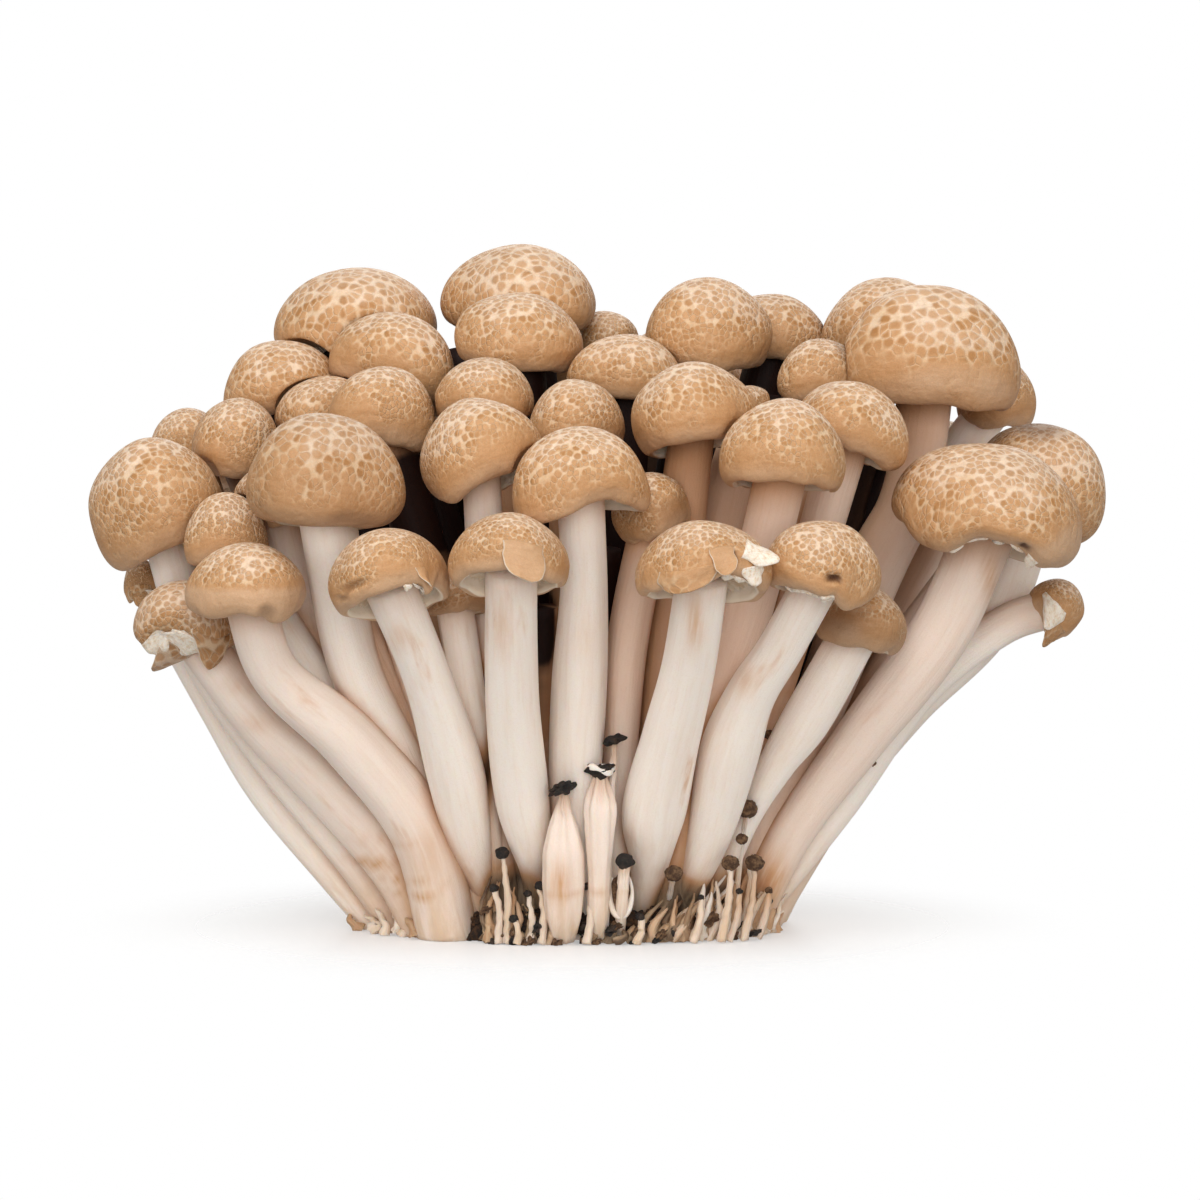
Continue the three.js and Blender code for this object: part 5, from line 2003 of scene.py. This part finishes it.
def crumb_tree(material: Material) -> NodeTree:
    """Geometry nodes that strew rough crumbs over a surface and keep the surface."""
    tree = bpy.data.node_groups.new("crumbs", "GeometryNodeTree")
    face = tree.interface
    face.new_socket("Geometry", in_out="OUTPUT", socket_type="NodeSocketGeometry")
    face.new_socket("Geometry", in_out="INPUT", socket_type="NodeSocketGeometry")
    for name, kind, value in (("Density", "NodeSocketFloat", 1.0), ("Seed", "NodeSocketInt", 3)):
        face.new_socket(name, in_out="INPUT", socket_type=kind).default_value = value
    sheet = NodeSheet(tree)
    add = sheet.add
    given = add("NodeGroupInput").node.outputs
    spread = add("GeometryNodeDistributePointsOnFaces", None, Mesh=given["Geometry"],
                 Density=given["Density"], Seed=given["Seed"])
    crumb = add("GeometryNodeMeshIcoSphere", None, Radius=1.0, Subdivisions=2)
    vectors = {"data_type": "FLOAT_VECTOR"}
    turn = add(RANDOM, vectors, (0, 0, 0), (6.28, 6.28, 6.28))
    least, most = (tuple(mm * MM for mm in sizes) for sizes in CRUMB_SIZES)
    size = add(RANDOM, vectors, least, most)
    strewn = add(STREW, None, Points=spread, Instance=crumb, Rotation=turn, Scale=size)
    real = add("GeometryNodeRealizeInstances", None, Geometry=strewn)
    joined = add("GeometryNodeJoinGeometry", None, Geometry=real)
    sheet.tree.links.new(given["Geometry"], joined.node.inputs[0])
    painted = add("GeometryNodeSetMaterial", None, Geometry=joined, Material=material)
    add("NodeGroupOutput", None, Geometry=painted)
    return tree


def make_bed(material: Material) -> None:
    """Makes the dark bed from the solid that it stands for, roughened and strewn with crumbs."""
    source = bpy.data.objects["growing_bed"]
    mesh = source.data.copy()
    mesh.transform(Matrix.Diagonal((*BED_SWELL, 1)))
    rough = bpy.data.objects.new("bed_rough", mesh)
    bpy.context.scene.collection.objects.link(rough)
    remesh = rough.modifiers.new("remesh", "REMESH")
    remesh.mode, remesh.voxel_size = "VOXEL", BED_VOXEL * MM
    graph = bpy.context.evaluated_depsgraph_get()
    fine = bpy.data.meshes.new_from_object(rough.evaluated_get(graph))
    bpy.data.objects.remove(rough)
    points = read_points(fine) / MM
    lift = sum(height * ripple(points, wave, seed) for height, wave, seed in BED_LUMPS)
    away = points - points.mean(axis=0)
    away[:, 2] *= 0.3
    away /= np.linalg.norm(away, axis=1)[:, None]
    points = points + away * lift[:, None]
    points[:, 2] = np.maximum(points[:, 2], 0.0)
    write_points(fine, points * MM)
    piece = run_tree("bed", crumb_tree(material), fine, Density=CRUMBS_PER_SQUARE_METRE, Seed=3)
    points = read_points(piece.data)
    points[:, 2] = np.maximum(points[:, 2], 0.0)
    write_points(piece.data, points)
    piece.data.shade_smooth()
    place(piece, "bed", "growing_bed")


# ---- stage ----


@dataclass
class Studio:
    """The pale floor, the soft lights and the camera.

    Attributes:
        camera_at: where the camera is.
        camera_down: how many degrees it looks down.
        focal_share: focal length over picture width.
        sensor: the sensor's width.
        surround: how strongly the surround lights the cluster.
        surround_tint: the colour of that light.
        floor_half: half the floor's width.
        floor_drop: how far it lies below the cluster.
        target: what the lights are turned towards.
        lights: each light's name, place, width and power in watts.
    """

    camera_at: tuple[float, float, float] = (3.5, -700.0, 80.0)
    camera_down: float = 3.21
    focal_share: float = 5600 / 1200
    sensor: float = 36.0
    surround: float = 0.4
    surround_tint: str = "FFFBF8"
    floor_half: float = 1500.0
    floor_drop: float = 0.05
    target: tuple[float, float, float] = (0, 0, 40)
    lights: tuple[tuple, ...] = (
        ("key", (-90, -340, 540), 460, 2.2),
        ("front", (20, -760, 190), 420, 2.36),
        ("left", (-520, -340, 160), 360, 0.4),
        ("right", (520, -340, 180), 360, 0.6),
        ("back", (60, 640, 330), 420, 1.0),
    )

    def set_up(self) -> None:
        """Makes everything around the object."""
        bpy.context.scene.view_settings.view_transform = "Standard"
        self.make_world()
        self.make_floor()
        for light in self.lights:
            self.make_light(*light)
        self.make_camera()

    def make_world(self) -> None:
        """A surround that looks white and lights the cluster more gently than it looks."""
        world = bpy.data.worlds.new("surround")
        world.use_nodes = True
        world.node_tree.nodes.clear()
        sheet = NodeSheet(world.node_tree)
        add = sheet.add
        seen = add("ShaderNodeLightPath", out="Is Camera Ray")
        strength = add(RANGE, SMOOTH, seen, 0.0, 1.0, self.surround, 1.0)
        colour = add(BLEND, MIXED, seen, i6=linear(self.surround_tint), i7=linear("FFFFFF"), out=2)
        background = add("ShaderNodeBackground", None, Color=colour, Strength=strength)
        add("ShaderNodeOutputWorld", None, Surface=background)
        bpy.context.scene.world = world

    def make_floor(self) -> None:
        """A wide pale sheet that the cluster stands on."""
        corners = np.array([(-1, -1, 0), (1, -1, 0), (1, 1, 0), (-1, 1, 0)], float) * self.floor_half
        corners[:, 2] = -self.floor_drop
        build_piece("floor", corners, [(0, 1, 2, 3)], floor_material(FloorFinish()))

    def make_light(self, name: str, at: Sequence[float], size: float, watts: float) -> None:
        """Adds a soft square light that is turned towards the cluster.

        Args:
            name: its name.
            at: where it is.
            size: how wide it is.
            watts: its power.
        """
        data = bpy.data.lights.new(name, "AREA")
        data.size, data.energy = size * MM, watts
        lamp = bpy.data.objects.new(name, data)
        bpy.context.scene.collection.objects.link(lamp)
        self.aim(lamp, at, self.target)

    @staticmethod
    def aim(thing: Object, at: Sequence[float], to: Sequence[float]) -> None:
        """Puts an object at a point in millimetres and turns its -Z axis towards another.

        Args:
            thing: a light or the camera.
            at: where it goes.
            to: what it is turned towards.
        """
        start, end = np.array(at, float) * MM, np.array(to, float) * MM
        back = (start - end) / np.linalg.norm(start - end)
        side = np.cross(np.array([0.0, 0.0, 1.0]), back)
        side /= np.linalg.norm(side)
        up = np.cross(back, side)
        matrix = Matrix([[side[k], up[k], back[k], start[k]] for k in range(3)] + [[0, 0, 0, 1]])
        thing.matrix_world = matrix

    def make_camera(self) -> None:
        """A long lens a little above the level of the foot."""
        data = bpy.data.cameras.new("camera")
        data.sensor_width = self.sensor
        data.lens = self.sensor * self.focal_share
        camera = bpy.data.objects.new("camera", data)
        bpy.context.scene.collection.objects.link(camera)
        x, y, z = self.camera_at
        self.aim(camera, self.camera_at, (x, 0.0, z + y * math.tan(math.radians(self.camera_down))))
        bpy.context.scene.camera = camera


# ---- all together ----


def main() -> None:
    """Makes every piece."""
    logging.basicConfig(level=logging.INFO, format="%(message)s")
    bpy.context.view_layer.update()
    caps = read_caps()
    Studio().set_up()
    skin = cap_material(CapFinish())
    CapMaker(caps, skin).make_all()
    TatterMaker(skin, torn_material(TornFinish())).make_all(caps)
    stems = StemMaker(caps, stem_material(StemFinish()))
    stems.make_foot()
    for cap in caps:
        stems.make_stem(cap)
    for number in range(1, len(FILLERS) + 1):
        stems.make_filler(number)
    gills = GillMaker(gill_material(GillFinish()))
    for cap in caps:
        gills.make(cap, [other for other in caps if other.at[1] < cap.at[1]])
    dark_head = dark_material(DRIED_HEAD)
    fuzz = dark_material(FUZZY_HEAD)
    for number, (pin, kind) in enumerate(zip(PINS, PIN_HEADS), 1):
        stems.make_pin(number, pin, kind, fuzz if kind is HeadKind.FUZZY else dark_head)
    BaseMaker(stems, dark_head, fuzz).make_all()
    make_bed(dark_material(GROWING_BED))


if __name__ == "__main__":
    main()
